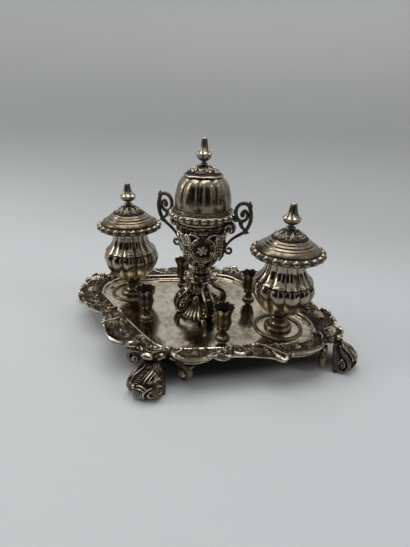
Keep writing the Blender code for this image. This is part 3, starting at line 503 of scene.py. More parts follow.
class Nodes:
    """A node tree that is filled by expressions."""

    def __init__(self, tree):
        self.tree = tree
        tree.nodes.clear()

    def make(self, kind, settings=None, values=None, output=0):
        """A node of a kind: its settings go first, then the values or links of its sockets."""
        node = self.tree.nodes.new(kind)
        for key, value in (settings or {}).items():
            setattr(node, key, value)
        for key, value in (values or {}).items():
            if isinstance(value, Wire):
                self.tree.links.new(value.socket, node.inputs[key])
            elif node.inputs[key].type == "RGBA" and len(value) == 3:
                node.inputs[key].default_value = (*value, 1.0)
            else:
                node.inputs[key].default_value = value
        return None if output is None else Wire(self, node.outputs[output])

    def blend(self, mask, under, over):
        """One colour over another by a mask."""
        return self.make("ShaderNodeMix", {"data_type": "RGBA"}, {0: mask, 6: under, 7: over}, 2)

    def cloud(self, place, scale, detail=3.0, roughness=0.55, warp=0.0):
        """Soft noise on Object coordinates, with so many features a metre."""
        values = {"Vector": place, "Scale": scale, "Detail": detail, "Roughness": roughness}
        return self.make("ShaderNodeTexNoise", None, values | {"Distortion": warp})

    def stretched(self, place, scale):
        """Coordinates stretched by a Mapping node."""
        return self.make("ShaderNodeMapping", None, {"Vector": place, "Scale": scale})

    def place(self):
        """Object coordinates."""
        return self.make("ShaderNodeTexCoord", None, None, 3)

    def axis(self, place, number):
        """One axis of the coordinates."""
        return self.make("ShaderNodeSeparateXYZ", None, {"Vector": place}, number)

    def bump(self, strength, distance, height):
        """A normal from a height."""
        values = {"Strength": strength, "Distance": distance, "Height": height}
        return self.make("ShaderNodeBump", None, values)

    def surface(self, values):
        """The material's surface, from the values of a Principled shader."""
        shader = self.make("ShaderNodeBsdfPrincipled", None, values)
        self.make("ShaderNodeOutputMaterial", None, {"Surface": shader}, None)


def new_material(name):
    """An empty node material and its tree."""
    made = bpy.data.materials.new(name)
    made.use_nodes = True
    return made, Nodes(made.node_tree)


def old_silver(name, dull, tarnish, shine, low_brown, grain, ripple, shade, crest):
    """Silver rubbed bright on its ridges, dull and brown on its sides and black in its hollows, where the
    black is oxide and painted shade.
    """
    look = bpy.context.scene.inkstand_finish
    made, nodes = new_material(name)
    place = nodes.place()
    recess = nodes.make("ShaderNodeAttribute", {"attribute_name": "recess"}, None, 2)
    height = nodes.axis(place, 2)
    broad = nodes.cloud(place, 38.0, 3.0, 0.6, 0.4)
    patch = nodes.cloud(place, 170.0, 5.0, 0.65, 0.6)
    speck = nodes.cloud(place, 1500.0, 3.0, 0.7)
    swirl = nodes.stretched(place, (90.0, 90.0, 900.0))
    rubbed = nodes.cloud(swirl, 1.0, 3.0, 0.6)

    lower = 1 - height.within(0.022, 0.062)
    film = (broad * 0.55 + patch * 0.45 + (dull - 0.5)).within(0.34, 0.62)
    stain = (patch * 0.6 + broad * 0.4 + lower * low_brown + (tarnish - 0.5)).within(0.47, 0.66)
    deep = (recess + (patch - 0.5) * 0.5).within(0.30, 0.85)
    side = (recess + (broad - 0.5) * 0.6).within(0.02, 0.55)

    metal = nodes.blend(film, tuple(look.bright), tuple(look.worn))
    metal = nodes.blend((stain * 0.75 + side * 0.45) * 0.85, metal, tuple(look.brown))
    if shade:
        metal = nodes.blend(shade - (patch - 0.5) * 0.3, metal, tuple(look.black))
    if crest:
        tops = (1 - (recess + (patch - 0.5) * 0.5).within(0.0, 0.24)) * crest
        metal = nodes.blend(tops, metal, tuple(look.bright))
    # The hollows go to the oxide colour: oxide that old silver keeps there, and painted shade where light
    # would hardly reach
    metal = nodes.blend(deep, metal, tuple(look.dark))
    rough = shine + film * 0.07 + stain * 0.13 + deep * 0.25 + (speck - 0.5) * 0.10 + (rubbed - 0.5) * 0.08
    bumps = patch * ripple + rubbed * 0.05 + speck * 0.04
    if grain:
        pitting = {"Vector": place, "Scale": 950.0, "Randomness": 0.9}
        pits = nodes.make("ShaderNodeTexVoronoi", None, pitting)
        bumps = bumps + (1 - pits) * recess.within(0.1, 0.7) * grain
    normal = nodes.bump(0.5, 0.0003, bumps)
    values = {"Base Color": metal, "Roughness": rough, "Metallic": 1 - deep * 0.3, "Normal": normal}
    nodes.surface(values)
    return made


def plated_steel(name):
    """Dull plated steel."""
    look = bpy.context.scene.inkstand_finish
    made, nodes = new_material(name)
    place = nodes.place()
    patch = nodes.cloud(place, 420.0, 4.0, 0.6)
    turned = nodes.cloud(nodes.stretched(place, (150.0, 150.0, 2600.0)), 1.0, 2.0)
    rust = patch.within(0.56, 0.72)
    metal = nodes.blend(patch.within(0.3, 0.7), tuple(look.steel), (0.28, 0.27, 0.25))
    metal = nodes.blend(rust * 0.6, metal, (0.16, 0.08, 0.035))
    rough = 0.3 + patch * 0.14 + rust * 0.3
    normal = nodes.bump(0.4, 0.0001, turned)
    values = {"Base Color": metal, "Roughness": rough, "Metallic": 1 - rust * 0.6, "Normal": normal}
    nodes.surface(values)
    return made


def liner_glass(name):
    """Pale pressed glass with a bloom of dried ink low down."""
    look = bpy.context.scene.inkstand_finish
    made, nodes = new_material(name)
    place = nodes.place()
    height = nodes.axis(place, 2)
    patch = nodes.cloud(place, 260.0, 4.0, 0.6, 0.5)
    inked = ((1 - height.within(0.034, 0.056)) * 0.7 + patch * 0.5).within(0.5, 0.85)
    glass = nodes.blend(inked, tuple(look.glass), (0.02, 0.025, 0.06))
    rough = 0.05 + inked * 0.3 + patch * 0.05
    normal = nodes.bump(0.3, 0.0002, patch)
    values = {"Base Color": glass, "Roughness": rough, "Normal": normal}
    nodes.surface(values | {"Transmission Weight": 0.9, "IOR": 1.5})
    return made


def stage_material(name, near, far, high):
    """A plain matt floor that turns to the backdrop's colour as it rises, paler far up and in the metal:
    its darkening as it recedes and rises is painted shade, its paling high up painted light, the dark under
    the tray a painted shadow and its glow in the metal a painted reflection.
    """
    made, nodes = new_material(name)
    place = nodes.place()
    height = nodes.axis(place, 2)
    mottle = nodes.cloud(place, 9.0, 3.0, 0.5)
    depth = nodes.axis(place, 1)
    # Painted shade: the floor darkens as it recedes and as it rises into the backdrop; painted light: the
    # backdrop pales again high up
    paint = nodes.blend(depth.within(0.05, 0.40) * 0.46, near, far)
    paint = nodes.blend(height.within(0.0, 0.125), paint, far)
    paint = nodes.blend(height.within(0.10, 0.42), paint, high)
    paint = nodes.blend((mottle - 0.5) * 0.12, paint, (0.30, 0.31, 0.32))
    # Painted shadow: the floor is painted nearly black under the tray, where little light comes in
    across = nodes.axis(place, 0)
    out = across.unsigned() * (1 / TRAY_HALF[0]) + depth.unsigned() * (1 / TRAY_HALF[1])
    paint = nodes.blend((1 - out.within(0.88, 1.09)) * 0.94, paint, (0.02, 0.018, 0.016))
    matt = {"Base Color": paint, "Roughness": 0.62 + mottle * 0.1}
    shader = nodes.make("ShaderNodeBsdfPrincipled", None, matt)
    # Painted reflection: the backdrop high up glows with its own light, seen only in the metal
    glossy = nodes.make("ShaderNodeLightPath", None, None, "Is Glossy Ray")
    glow = nodes.make("ShaderNodeEmission", None, {"Color": (0.62, 0.63, 0.62), "Strength": 1.0})
    shown = glossy * height.within(0.10, 0.40) * 0.75
    shader = nodes.make("ShaderNodeMixShader", None, {0: shown, 1: shader, 2: glow})
    nodes.make("ShaderNodeOutputMaterial", None, {"Surface": shader}, None)
    return made


def dress_nodes(names, finish):
    """Gives carried-over CAD nodes a better finish."""
    for name in names:
        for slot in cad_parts[name].material_slots:
            slot.material = finish


def finish_called(name, make, *choices):
    """The material of this name, made the first time it is asked for."""
    return bpy.data.materials.get(name) or make(name, *choices)


# Each silver: how dull, how tarnished and how rough it is, how brown low down, its pitting and ripple, how
# black it is all over and how bright on its crests
SILVERS = {
    # Bowls, rings, rim and finials, raised and rubbed
    "polished": (0.66, 0.46, 0.085, 0.34, 0.0, 0.25, 0.05, 0.0),
    # The tray's flat, a soft grey mirror with faint stains
    "tray": (0.48, 0.40, 0.07, 0.07, 0.0, 0.10, 0.0, 0.0),
    # Lids and dome, greyer, with a bloom of handling
    "lid": (0.80, 0.54, 0.12, 0.0, 0.0, 0.2, 0.24, 0.0),
    # Chased border and cap with black hollows
    "chased": (0.72, 0.64, 0.13, 0.0, 0.5, 0.25, 0.48, 0.50),
    # Cast corners and feet, darker than the rest
    "cast": (0.66, 0.56, 0.12, 0.0, 0.4, 0.25, 0.46, 0.62),
    # The vase's chasing, rubbed bright on a black ground
    "vase": (0.54, 0.46, 0.11, 0.0, 0.4, 0.25, 0.26, 0.6),
    # The urn's legs, stem and collar, brighter and browner than the feet
    "stand": (0.40, 0.50, 0.11, 0.16, 0.4, 0.25, 0.0, 0.0),
    # The pen cups, gone black with ink, with painted shade inside them
    "inky": (0.56, 0.64, 0.12, 0.10, 0.0, 0.25, 0.38, 0.0),
    # The handles, black but for a dull shine on their edges
    "handle": (0.80, 0.60, 0.20, 0.0, 0.0, 0.25, 0.76, 0.0),
}


def silver(kind):
    """One of the silvers."""
    return finish_called(f"{kind} silver", old_silver, *SILVERS[kind])


def glass_finish():
    """Glass of the ink liners."""
    return finish_called("liner glass", liner_glass)


def steel_finish():
    """Steel of the nuts and the tie rod."""
    return finish_called("plated steel", plated_steel)


def outline_point(at):
    """Points of the border's outline: the whole part counts stretches and the rest is the way along one."""
    starts = np.array([(x * TRAY_HALF[0], y * TRAY_HALF[1]) for x, y, _ in OUTLINE])
    starts = np.vstack([starts, -starts])
    bulges = np.tile([bulge * TRAY_HALF[1] for _, _, bulge in OUTLINE], 2)
    index = np.floor(at).astype(int)
    t = (at - index)[:, None]
    index = index % len(starts)
    chord = starts[(index + 1) % len(starts)] - starts[index]
    outward = np.column_stack([chord[:, 1], -chord[:, 0]]) / np.linalg.norm(chord, axis=1)[:, None]
    return starts[index] + chord * t + outward * bulges[index][:, None] * 4 * t * (1 - t)


def well_reach(way):
    """How far the tray's flat reaches along unit vectors: a bowed lozenge with round corners."""
    way = np.abs(way)
    tip = np.array([WELL_TIP, 0.0])
    flank = np.array([0.0, WELL_FLANK])
    side = np.array([WELL_FLANK, WELL_TIP]) / math.hypot(WELL_FLANK, WELL_TIP)
    reach = (side @ tip + WELL_ROUND) / (way @ side)
    along = ((way * reach[:, None] - tip) @ (flank - tip)) / ((flank - tip) @ (flank - tip))
    bowed = reach + WELL_BOW * 4 * along * (1 - along)
    centre = np.where((along < 0)[:, None], tip, flank)
    mid = (way * centre).sum(axis=1)
    rounded = mid + np.sqrt(np.maximum(mid**2 - (centre**2).sum(axis=1) + WELL_ROUND**2, 0))
    return np.where((along >= 0) & (along <= 1), bowed, rounded)


def flange_point(at, across):
    """Points of the flange from the moulding, at 0, to the border's outline, at 1."""
    sizes = bpy.context.scene.inkstand_tray
    outer = outline_point(np.atleast_1d(np.asarray(at, float)))
    reach = np.linalg.norm(outer, axis=1)
    way = outer / reach[:, None]
    inner = way * (well_reach(way) + sizes.moulding + 0.0003)[:, None]
    return inner + (outer - inner) * np.reshape(across, (-1, 1))


# The tray's section from the middle to the edge: share of the way to the well's edge, then metres past it
# across the moulding, then the share of the way to the flange's edge, each with its height over the flat.
# The moulding is drawn at a width of its own and stretched to the user's.
MOULDING_DRAWN = 0.0026
FLANGE_UP = 0.0026
WELL_RUN = tuple((share_of, 0.0) for share_of in (0.0, 0.04, 0.2, 0.4, 0.6, 0.8, 0.95, 0.995))
MOULDING_RUN = (
    (0.0, 0.0), (0.0003, 0.0001), (0.00055, 0.0005), (0.0007, 0.0012), (0.0009, 0.0019), (0.0012, 0.0025),
    (0.00155, 0.00285), (0.0019, 0.0029), (0.0022, 0.00278), (0.0026, 0.0026),
)


class INKSTAND_OT_tray(Operator):
    """The tray sheet: a flat lozenge, its round moulding and the flange, with a hole for each stud"""

    bl_idname = "inkstand.tray"
    bl_label = "Tray sheet"

    def execute(self, context):
        sizes = context.scene.inkstand_tray
        top = [("well", *run) for run in WELL_RUN] + [("moulding", *run) for run in MOULDING_RUN]
        top += [("flange", across, FLANGE_UP) for across in (0.25, 0.5, 0.75, 0.97)]
        section = top + [(kind, across, up - sizes.sheet) for kind, across, up in reversed(top)]

        def place(u, v):
            outer = outline_point(v * 24)
            reach = np.linalg.norm(outer, axis=1)
            way = outer / reach[:, None]
            well = well_reach(way)
            edge = reach - 0.001
            row = np.rint(u * (len(section) - 1)).astype(int)
            out = np.zeros(len(u))
            up = np.zeros(len(u))
            for i, (kind, across, height) in enumerate(section):
                here = row == i
                up[here] = height
                if kind == "well":
                    out[here] = well[here] * across
                elif kind == "moulding":
                    out[here] = well[here] + across * sizes.moulding / MOULDING_DRAWN
                else:
                    start = well[here] + sizes.moulding
                    out[here] = start + (edge[here] - start) * across
            return np.column_stack([way * out[:, None], up + TRAY_TOP])

        bm = wrap_grid(len(section) - 1, 480, place)

        def relief(points, marks):
            # A dark line in the crease where the flat meets the moulding: oxide and painted shade
            recess = 0.9 * falloff(marks["along"], 0.19, 0.012)
            return np.zeros(len(points)), recess * (points[:, 2] > TRAY_TOP - 0.0002)

        flat = silver("tray")
        piece = set_down("tray_sheet", [press(bm, relief)], "tray", ["tray_plate"], flat)
        drills = bmesh.new()
        holes = [(*at, WELL_HOLE) for at in INKWELLS.values()] + [(*at, CUP_HOLE) for at in CUPS.values()]
        for x, y, radius in [*holes, (0.0, 0.0, ROD_HOLE)]:
            at = Matrix.Translation((x, y, TRAY_TOP - sizes.sheet / 2)) @ Matrix.Rotation(0.12, 4, "Z")
            bmesh.ops.create_cone(
                drills, cap_ends=True, segments=24, radius1=radius, radius2=radius, depth=0.004, matrix=at
            )
        data = bpy.data.meshes.new("drills")
        drills.to_mesh(data)
        drills.free()
        cutter = bpy.data.objects.new("drills", data)
        context.scene.collection.objects.link(cutter)
        cut = piece.modifiers.new("Stud holes", "BOOLEAN")
        cut.operation = "DIFFERENCE"
        cut.solver = "EXACT"
        cut.object = cutter
        context.view_layer.update()
        drilled = bpy.data.meshes.new_from_object(piece.evaluated_get(context.evaluated_depsgraph_get()))
        piece.modifiers.clear()
        piece.data = drilled
        bpy.data.objects.remove(cutter, do_unlink=True)
        return {"FINISHED"}


# The ornament on one half of the border, placed by stretch of the outline, counted from the front corner,
# and share of the way across the flange. Lifts are shares of the border's relief. Up to stretch 1 is the
# front corner, to 2 the first lobe, to 4.7 curled leaves, to 6 the long lobe, to 8 the right corner, to
# 10.4 scrolls and a curled lip, and to 12 the last lobe.
# Scrolls: stretch, share across, turn from the edge's run, length, turns, half width and lift
BORDER_CURLS = (
    (0.24, 0.80, math.pi, 0.0100, 0.55), (0.78, 0.84, 0.0, 0.0098, -0.55),
    (0.16, 0.35, -0.6, 0.0085, 0.6, 0.0008, 0.7), (0.90, 0.42, math.pi + 0.4, 0.0075, -0.6, 0.0008, 0.7),
    (1.12, 0.64, 0.9, 0.0120, 0.62, 0.0009, 0.9), (1.80, 0.22, 0.5, 0.0080, 0.6, 0.0008, 0.8),
    (2.30, 0.52, 0.7, 0.0085, -0.6, 0.0009, 0.9), (2.98, 0.44, 0.2, 0.0100, 0.66, 0.0010, 0.95),
    (4.98, 0.42, 0.3, 0.0078, 0.6, 0.0007, 0.62), (5.78, 0.30, 0.8, 0.0074, -0.6, 0.0008, 0.7),
    (6.08, 0.55, 0.9, 0.0100, 0.6, 0.0010, 0.9), (6.92, 0.84, math.pi - 0.5, 0.0110, 0.62, 0.0011, 0.95),
    (7.78, 0.40, 0.4, 0.0085, -0.6, 0.0009, 0.85), (8.86, 0.40, 0.1, 0.0110, 0.66, 0.0010, 0.95),
    (9.60, 0.72, 0.5, 0.0090, -0.6, 0.0009, 0.9), (11.72, 0.30, 0.7, 0.0080, -0.6, 0.0008, 0.7),
)
# Leaves: stretch, share across, turn, length and lift
BORDER_LEAVES = (
    (0.06, 0.55, 0.7, 0.0065), (0.72, 0.95, 0.15, 0.0070, 0.9), (1.42, 0.40, -0.4, 0.0055, 0.7),
    (1.50, 0.18, 0.5, 0.0050, 0.6), (2.32, 0.92, 0.1, 0.0075, 0.85), (2.46, 0.30, 0.5, 0.0065, 0.7),
    (2.72, 0.62, -0.2, 0.0060, 0.85), (3.62, 0.34, 0.2, 0.0058, 0.7), (3.46, 0.88, 0.1, 0.0068, 0.8),
    (5.16, 0.34, 0.3, 0.0062, 0.62), (5.60, 0.40, -0.2, 0.0060, 0.62), (6.10, 0.88, 0.2, 0.0078, 0.85),
    (7.10, 0.30, 0.5, 0.0085, 0.8), (8.02, 0.72, 0.2, 0.0066, 0.85), (8.44, 0.40, 0.5, 0.0066, 0.8),
    (8.50, 0.84, 0.0, 0.0075, 0.9), (9.06, 0.90, 0.1, 0.0075, 0.9), (9.40, 0.34, 0.3, 0.0070, 0.8),
    (10.45, 0.30, 0.2, 0.0070, 0.65), (11.02, 0.32, 0.2, 0.0062, 0.65), (11.48, 0.42, -0.3, 0.0060, 0.65),
)
# Flowers: stretch, share across, radius, lift and petals
BORDER_BLOOMS = (
    (1.60, 0.50, 0.0024, 0.95), (3.50, 0.56, 0.0023, 0.95, 6), (3.68, 0.74, 0.0017, 0.8),
    (3.84, 0.48, 0.0014, 0.7), (5.42, 0.44, 0.0025, 0.85, 6), (8.28, 0.56, 0.0026, 1.0, 5),
    (9.20, 0.66, 0.0020, 0.9), (10.75, 0.50, 0.0021, 0.75), (11.30, 0.46, 0.0025, 0.85, 6),
)
# Beads: stretch, share across, radius and lift
BORDER_BEADS = (
    (1.73, 0.30, 0.0008, 0.8), (1.97, 0.66, 0.0008, 0.95), (2.05, 0.78, 0.0011, 0.95),
    (2.14, 0.90, 0.0012, 0.95), (2.24, 0.72, 0.0008, 0.95), (3.22, 0.62, 0.0010, 0.9),
    (4.30, 0.52, 0.0009, 0.8), (8.62, 0.60, 0.0010, 0.85),
)
# The bright rolls along a lobe's edge: share across, half width and lift, and where they start and stop
EDGE_ROLLS = ((0.962, 0.00075, 1.0), (0.880, 0.0005, 0.85), (0.80, 0.00035, 0.6))
EDGE_RUNS = ((1.02, 1.98), (4.78, 5.97), (10.55, 11.98))
# Ridges: their stops as stretch and share across, then half widths and lifts along them
BORDER_LINES = (
    (((0.28, 0.60), (0.40, 0.66), (0.62, 0.66), (0.74, 0.58)), 0.0008, 0.75),
    (((0.30, 0.34), (0.44, 0.46), (0.64, 0.44), (0.84, 0.26)), (0.0006, 0.0010, 0.0006), 0.7),
    (((0.34, 0.18), (0.48, 0.28), (0.66, 0.26), (0.80, 0.12)), (0.0005, 0.0009, 0.0005), 0.62),
    (((2.62, 0.90), (2.85, 0.97), (3.10, 0.90)), (0.0010, 0.0012, 0.0009), 0.95),
    (((3.05, 0.86), (3.20, 0.97), (3.36, 0.84)), (0.0010, 0.0013, 0.0009), 1.0),
    (((4.02, 0.86), (4.22, 0.99), (4.46, 0.97), (4.62, 0.84)), (0.0012, 0.0016, 0.0011), 1.0),
    (((4.10, 0.70), (4.26, 0.79), (4.44, 0.77), (4.56, 0.68)), 0.0009, 0.72),
    (
        (
            (2.75, 0.38), (2.95, 0.18), (3.20, 0.07), (3.55, 0.05), (3.90, 0.10), (4.20, 0.24),
            (4.52, 0.50), (4.74, 0.88),
        ),
        (0.0005, 0.0007, 0.0008),
        (0.65, 0.85, 1.0),
    ),
    (((6.30, 0.93), (6.55, 0.99), (6.80, 0.94)), (0.0010, 0.0014, 0.0010), 0.95),
    (((6.96, 0.90), (7.10, 0.98), (7.30, 0.92)), (0.0009, 0.0014, 0.0009), 0.95),
    (((7.45, 0.90), (7.62, 0.97), (7.82, 0.88)), (0.0009, 0.0013, 0.0009), 0.95),
    (((8.06, 0.93), (8.22, 0.99), (8.42, 0.93)), (0.0009, 0.0012, 0.0009), 0.9),
    (
        ((9.20, 0.10), (9.55, 0.06), (9.85, 0.22), (10.05, 0.55), (10.15, 0.92)),
        (0.0006, 0.0010, 0.0013),
        1.0,
    ),
    (((9.70, 0.92), (9.90, 0.99), (10.20, 0.97)), (0.0010, 0.0014, 0.0010), 1.0),
)


def chase_border(chasing, high):
    """The border's leafwork over one half of the outline, in plan."""

    def spot(s, t):
        x, y = flange_point(s, t)[0]
        return x, y

    def heading(s, t=0.6):
        ahead, behind = flange_point(s + 0.02, t)[0], flange_point(s - 0.02, t)[0]
        return math.atan2(ahead[1] - behind[1], ahead[0] - behind[0])

    def curl(s, t, turn, length, turns, wide=0.0009, lift=0.85):
        chasing.scroll(*spot(s, t), heading(s) + turn, length * 0.9, turns, wide * 0.75, high * lift)

    def leafy(s, t, turn, length, lift=0.75, fat=0.34):
        chasing.leaf(*spot(s, t), length * 0.85, high * lift, heading(s) + turn, fat)

    def bloom(s, t, radius, lift=0.85, petals=5):
        chasing.flower(*spot(s, t), radius * 0.9, high * lift, petals, s)

    def line(stops, wide, lift):
        path = smooth_line([spot(s, t) for s, t in stops], 40)
        chasing.roll(path, np.multiply(wide, 0.75), np.multiply(lift, high))

    # A rolled boss at the front tip and the shells of the right corner, among the leaves and scrolls
    chasing.bead(*spot(0.50, 0.86), 0.0021, high, 2.0, heading(0.5))
    fan = heading(6.62) - math.pi / 2
    chasing.shell(*spot(6.55, 0.20), 0.0105, high * 0.9, fan - 0.25, 0.95, 9, 0.3)
    chasing.shell(*spot(7.30, 0.16), 0.0092, high * 0.85, heading(7.35) - math.pi / 2, 0.8, 7, 0.3)
    for one, table in ((curl, BORDER_CURLS), (leafy, BORDER_LEAVES), (bloom, BORDER_BLOOMS)):
        for place in table:
            one(*place)
    for stops, wide, lift in BORDER_LINES:
        line(stops, wide, lift)
    for s, t, radius, lift in BORDER_BEADS:
        chasing.bead(*spot(s, t), radius, high * lift)
    for start, stop in EDGE_RUNS:
        for t, wide, lift in EDGE_ROLLS:
            # Each turns in a little at its ends
            stops = [(start + (stop - start) * k / 6, t - 0.08 * (k in (0, 6))) for k in range(7)]
            line(stops, wide, lift)

    # Small curled leaves, scrolls and dots that fill the ground
    rng = np.random.default_rng(11)
    for s, t, turn, size in rng.uniform((0, 0.1, -1.2, 0.0024), (12, 0.86, 1.2, 0.0042), (230, 4)):
        leafy(s, t, turn, size, 0.32 + size * 50, 0.4)
    for s, t, turn, size in rng.uniform((0, 0.1, 0.0, 0.0036), (12, 0.86, 6.2, 0.0062), (190, 4)):
        curl(s, t, turn, size, 0.62 if turn > 3 else -0.62, 0.0006, 0.36 + size * 40)
    for s, t, radius, lift in rng.uniform((0, 0.06, 0.0003, 0.36), (12, 0.88, 0.0005, 0.5), (500, 4)):
        chasing.bead(*spot(s, t), radius, high * lift)


def edge_notch(at):
    """How far the border's outline is drawn in, as a share of the flange, between the bright rolls."""
    at = at % 12
    scallop = np.abs(np.sin(at * math.pi * 2.6)) ** 0.7
    plain = ease(at, 0.9, 1.05) * (1 - ease(at, 1.9, 2.05))
    plain += ease(at, 4.7, 4.85) * (1 - ease(at, 5.9, 6.0)) + ease(at, 10.4, 10.7)
    cusps = sum(falloff(at, s, 0.07) for s in (2.0, 6.92, 7.42, 7.95, 8.72, 9.55))
    return (1 - np.clip(plain, 0, 1)) * 0.07 * (1 - scallop) + 0.07 * cusps


# A casting's section is closed: this share of the way round is its top. Its rows are this far apart.
TOP_SHARE = 0.8
BORDER_STEP = 0.00032


class INKSTAND_OT_border(Operator):
    """Eight chased castings round the flange: scrolls, shells, flowers and bright edge rolls"""

    bl_idname = "inkstand.border"
    bl_label = "Border castings"

    def execute(self, context):
        sizes = context.scene.inkstand_tray
        for name, (first, number) in CASTINGS.items():
            corner = name.startswith("corner")
            high = sizes.corner_lift * 0.82 if corner else sizes.border_lift
            self.cast(name, first, number, high, silver("cast") if corner else silver("chased"))
        return {"FINISHED"}

    def cast(self, name, first, number, high, finish):
        stretches = flange_point(np.linspace(first, first + number, 60), 0.8)
        rows = int(travelled(stretches)[-1] / BORDER_STEP)
        base = FLANGE + 0.0003
        ground = 0.30 * high

        def place(u, v):
            at = first + number * (0.004 / number + u * (1 - 0.008 / number))
            top = v < TOP_SHARE
            across = np.where(top, v / TOP_SHARE, (1 - v) / (1 - TOP_SHARE))
            points = flange_point(at, across * (1 - edge_notch(at)))
            upper = base + ground * ease(across, 0.0, 0.12) * (1 - 0.8 * ease(across, 0.955, 1.0))
            lower = base - 0.0011 * ease(across, 0.90, 0.97)
            return np.column_stack([points, np.where(top, upper, lower)])

        bm = wrap_grid(rows, 50, place)

        def relief(points, marks):
            at = first + number * marks["along"]
            v = marks["across"]
            top = (v > 0.0) & (v < TOP_SHARE)
            facing = np.where(at >= 12, -1.0, 1.0)
            chasing = Chasing(points[:, 0] * facing, points[:, 1] * facing)
            chase_border(chasing, high)
            lift = chasing.lift
            fade = ease(v, 0.0, 0.03) * (1 - ease(v, 0.775, TOP_SHARE)) * top
            ends = ease(marks["along"], 0.0, 0.01) * (1 - ease(marks["along"], 0.99, 1.0))
            raised = np.maximum(lift - ground * 0.6, 0) * fade * (0.4 + 0.6 * ends)
            recess = np.where(top, hollows(lift, high * 0.85) * 0.72 + 0.06, 0.5)
            return raised, recess

        mesh = press(bm, relief)
        set_down(f"{name}_leafwork", [mesh], "tray", [name], finish)


# A foot seen from the side, round its outer face from the sole up and back down its inner face
FOOT_OUTER = (
    (0.15, 0.0), (0.6, 0.0), (0.87, 0.1), (1.0, 0.33), (0.93, 0.56), (0.72, 0.7), (0.45, 0.76),
    (0.22, 0.84), (0.1, 1.0),
)
FOOT_INNER = (
    (-0.2, 1.0), (-0.2, 0.88), (-0.16, 0.74), (-0.12, 0.6), (-0.05, 0.35), (0.0, 0.13), (0.08, 0.0),
)
# How far round that section its face leaves the table, and how far apart the pleats of its cheeks are
SOLE_RUN = 0.0068
PLEAT = 0.0019
FOOT_TURNS = {"right": (0, 0), "back": (1, 1), "left": (2, 0), "front": (3, 1)}
# How far the scrolls beside a foot stand back and spread: at the ends of the tray, then at its sides
FOOT_SCROLLS = ((0.0075, 0.0175), (0.0105, 0.0243))
FOOT_SCROLL_PATH = (
    (0.2, 0.93), (0.42, 0.885), (0.62, 0.885), (0.83, 0.84), (0.965, 0.7), (0.99, 0.49), (0.9, 0.32),
    (0.76, 0.31), (0.685, 0.43), (0.7, 0.56), (0.79, 0.62),
)
# What stands on each side behind a foot: path, share of the spread, half widths and half thicknesses in
# metres, rows, points round, how ridged it is and how dark, the web's darkness being painted shadow under
# the tray's edge
FOOT_STROKES = (
    (
        FOOT_SCROLL_PATH,
        0.90,
        (0.0014, 0.0022, 0.0024, 0.0021, 0.0014),
        (0.0012, 0.0016, 0.0018, 0.0016, 0.0011),
        70,
        14,
        0.22,
        0.3,
    ),
    (
        ((0.76, 0.74), (0.90, 0.82), (1.01, 0.92)),
        1.0,
        (0.0018, 0.0016, 0.0006),
        (0.0022, 0.0017, 0.0006),
        16,
        10,
        0.0,
        0.3,
    ),
    # The web that fills up to the tray's underside, painted dark all over as painted shadow under the
    # tray's edge
    (
        ((0.10, 0.82), (0.38, 0.80), (0.62, 0.74), (0.80, 0.66)),
        0.90,
        (0.0010, 0.0012, 0.0010),
        (0.0034, 0.0034, 0.0028),
        24,
        12,
        0.0,
        1.1,
    ),
)
# The volute on each cheek of a foot, as shares of its reach and height
FOOT_VOLUTE = (
    (0.12, 0.95), (0.22, 0.8), (0.4, 0.7), (0.62, 0.6), (0.75, 0.44), (0.75, 0.25), (0.61, 0.11),
    (0.39, 0.08), (0.21, 0.18), (0.18, 0.35), (0.3, 0.48), (0.46, 0.49), (0.56, 0.37), (0.52, 0.24),
    (0.4, 0.23),
)


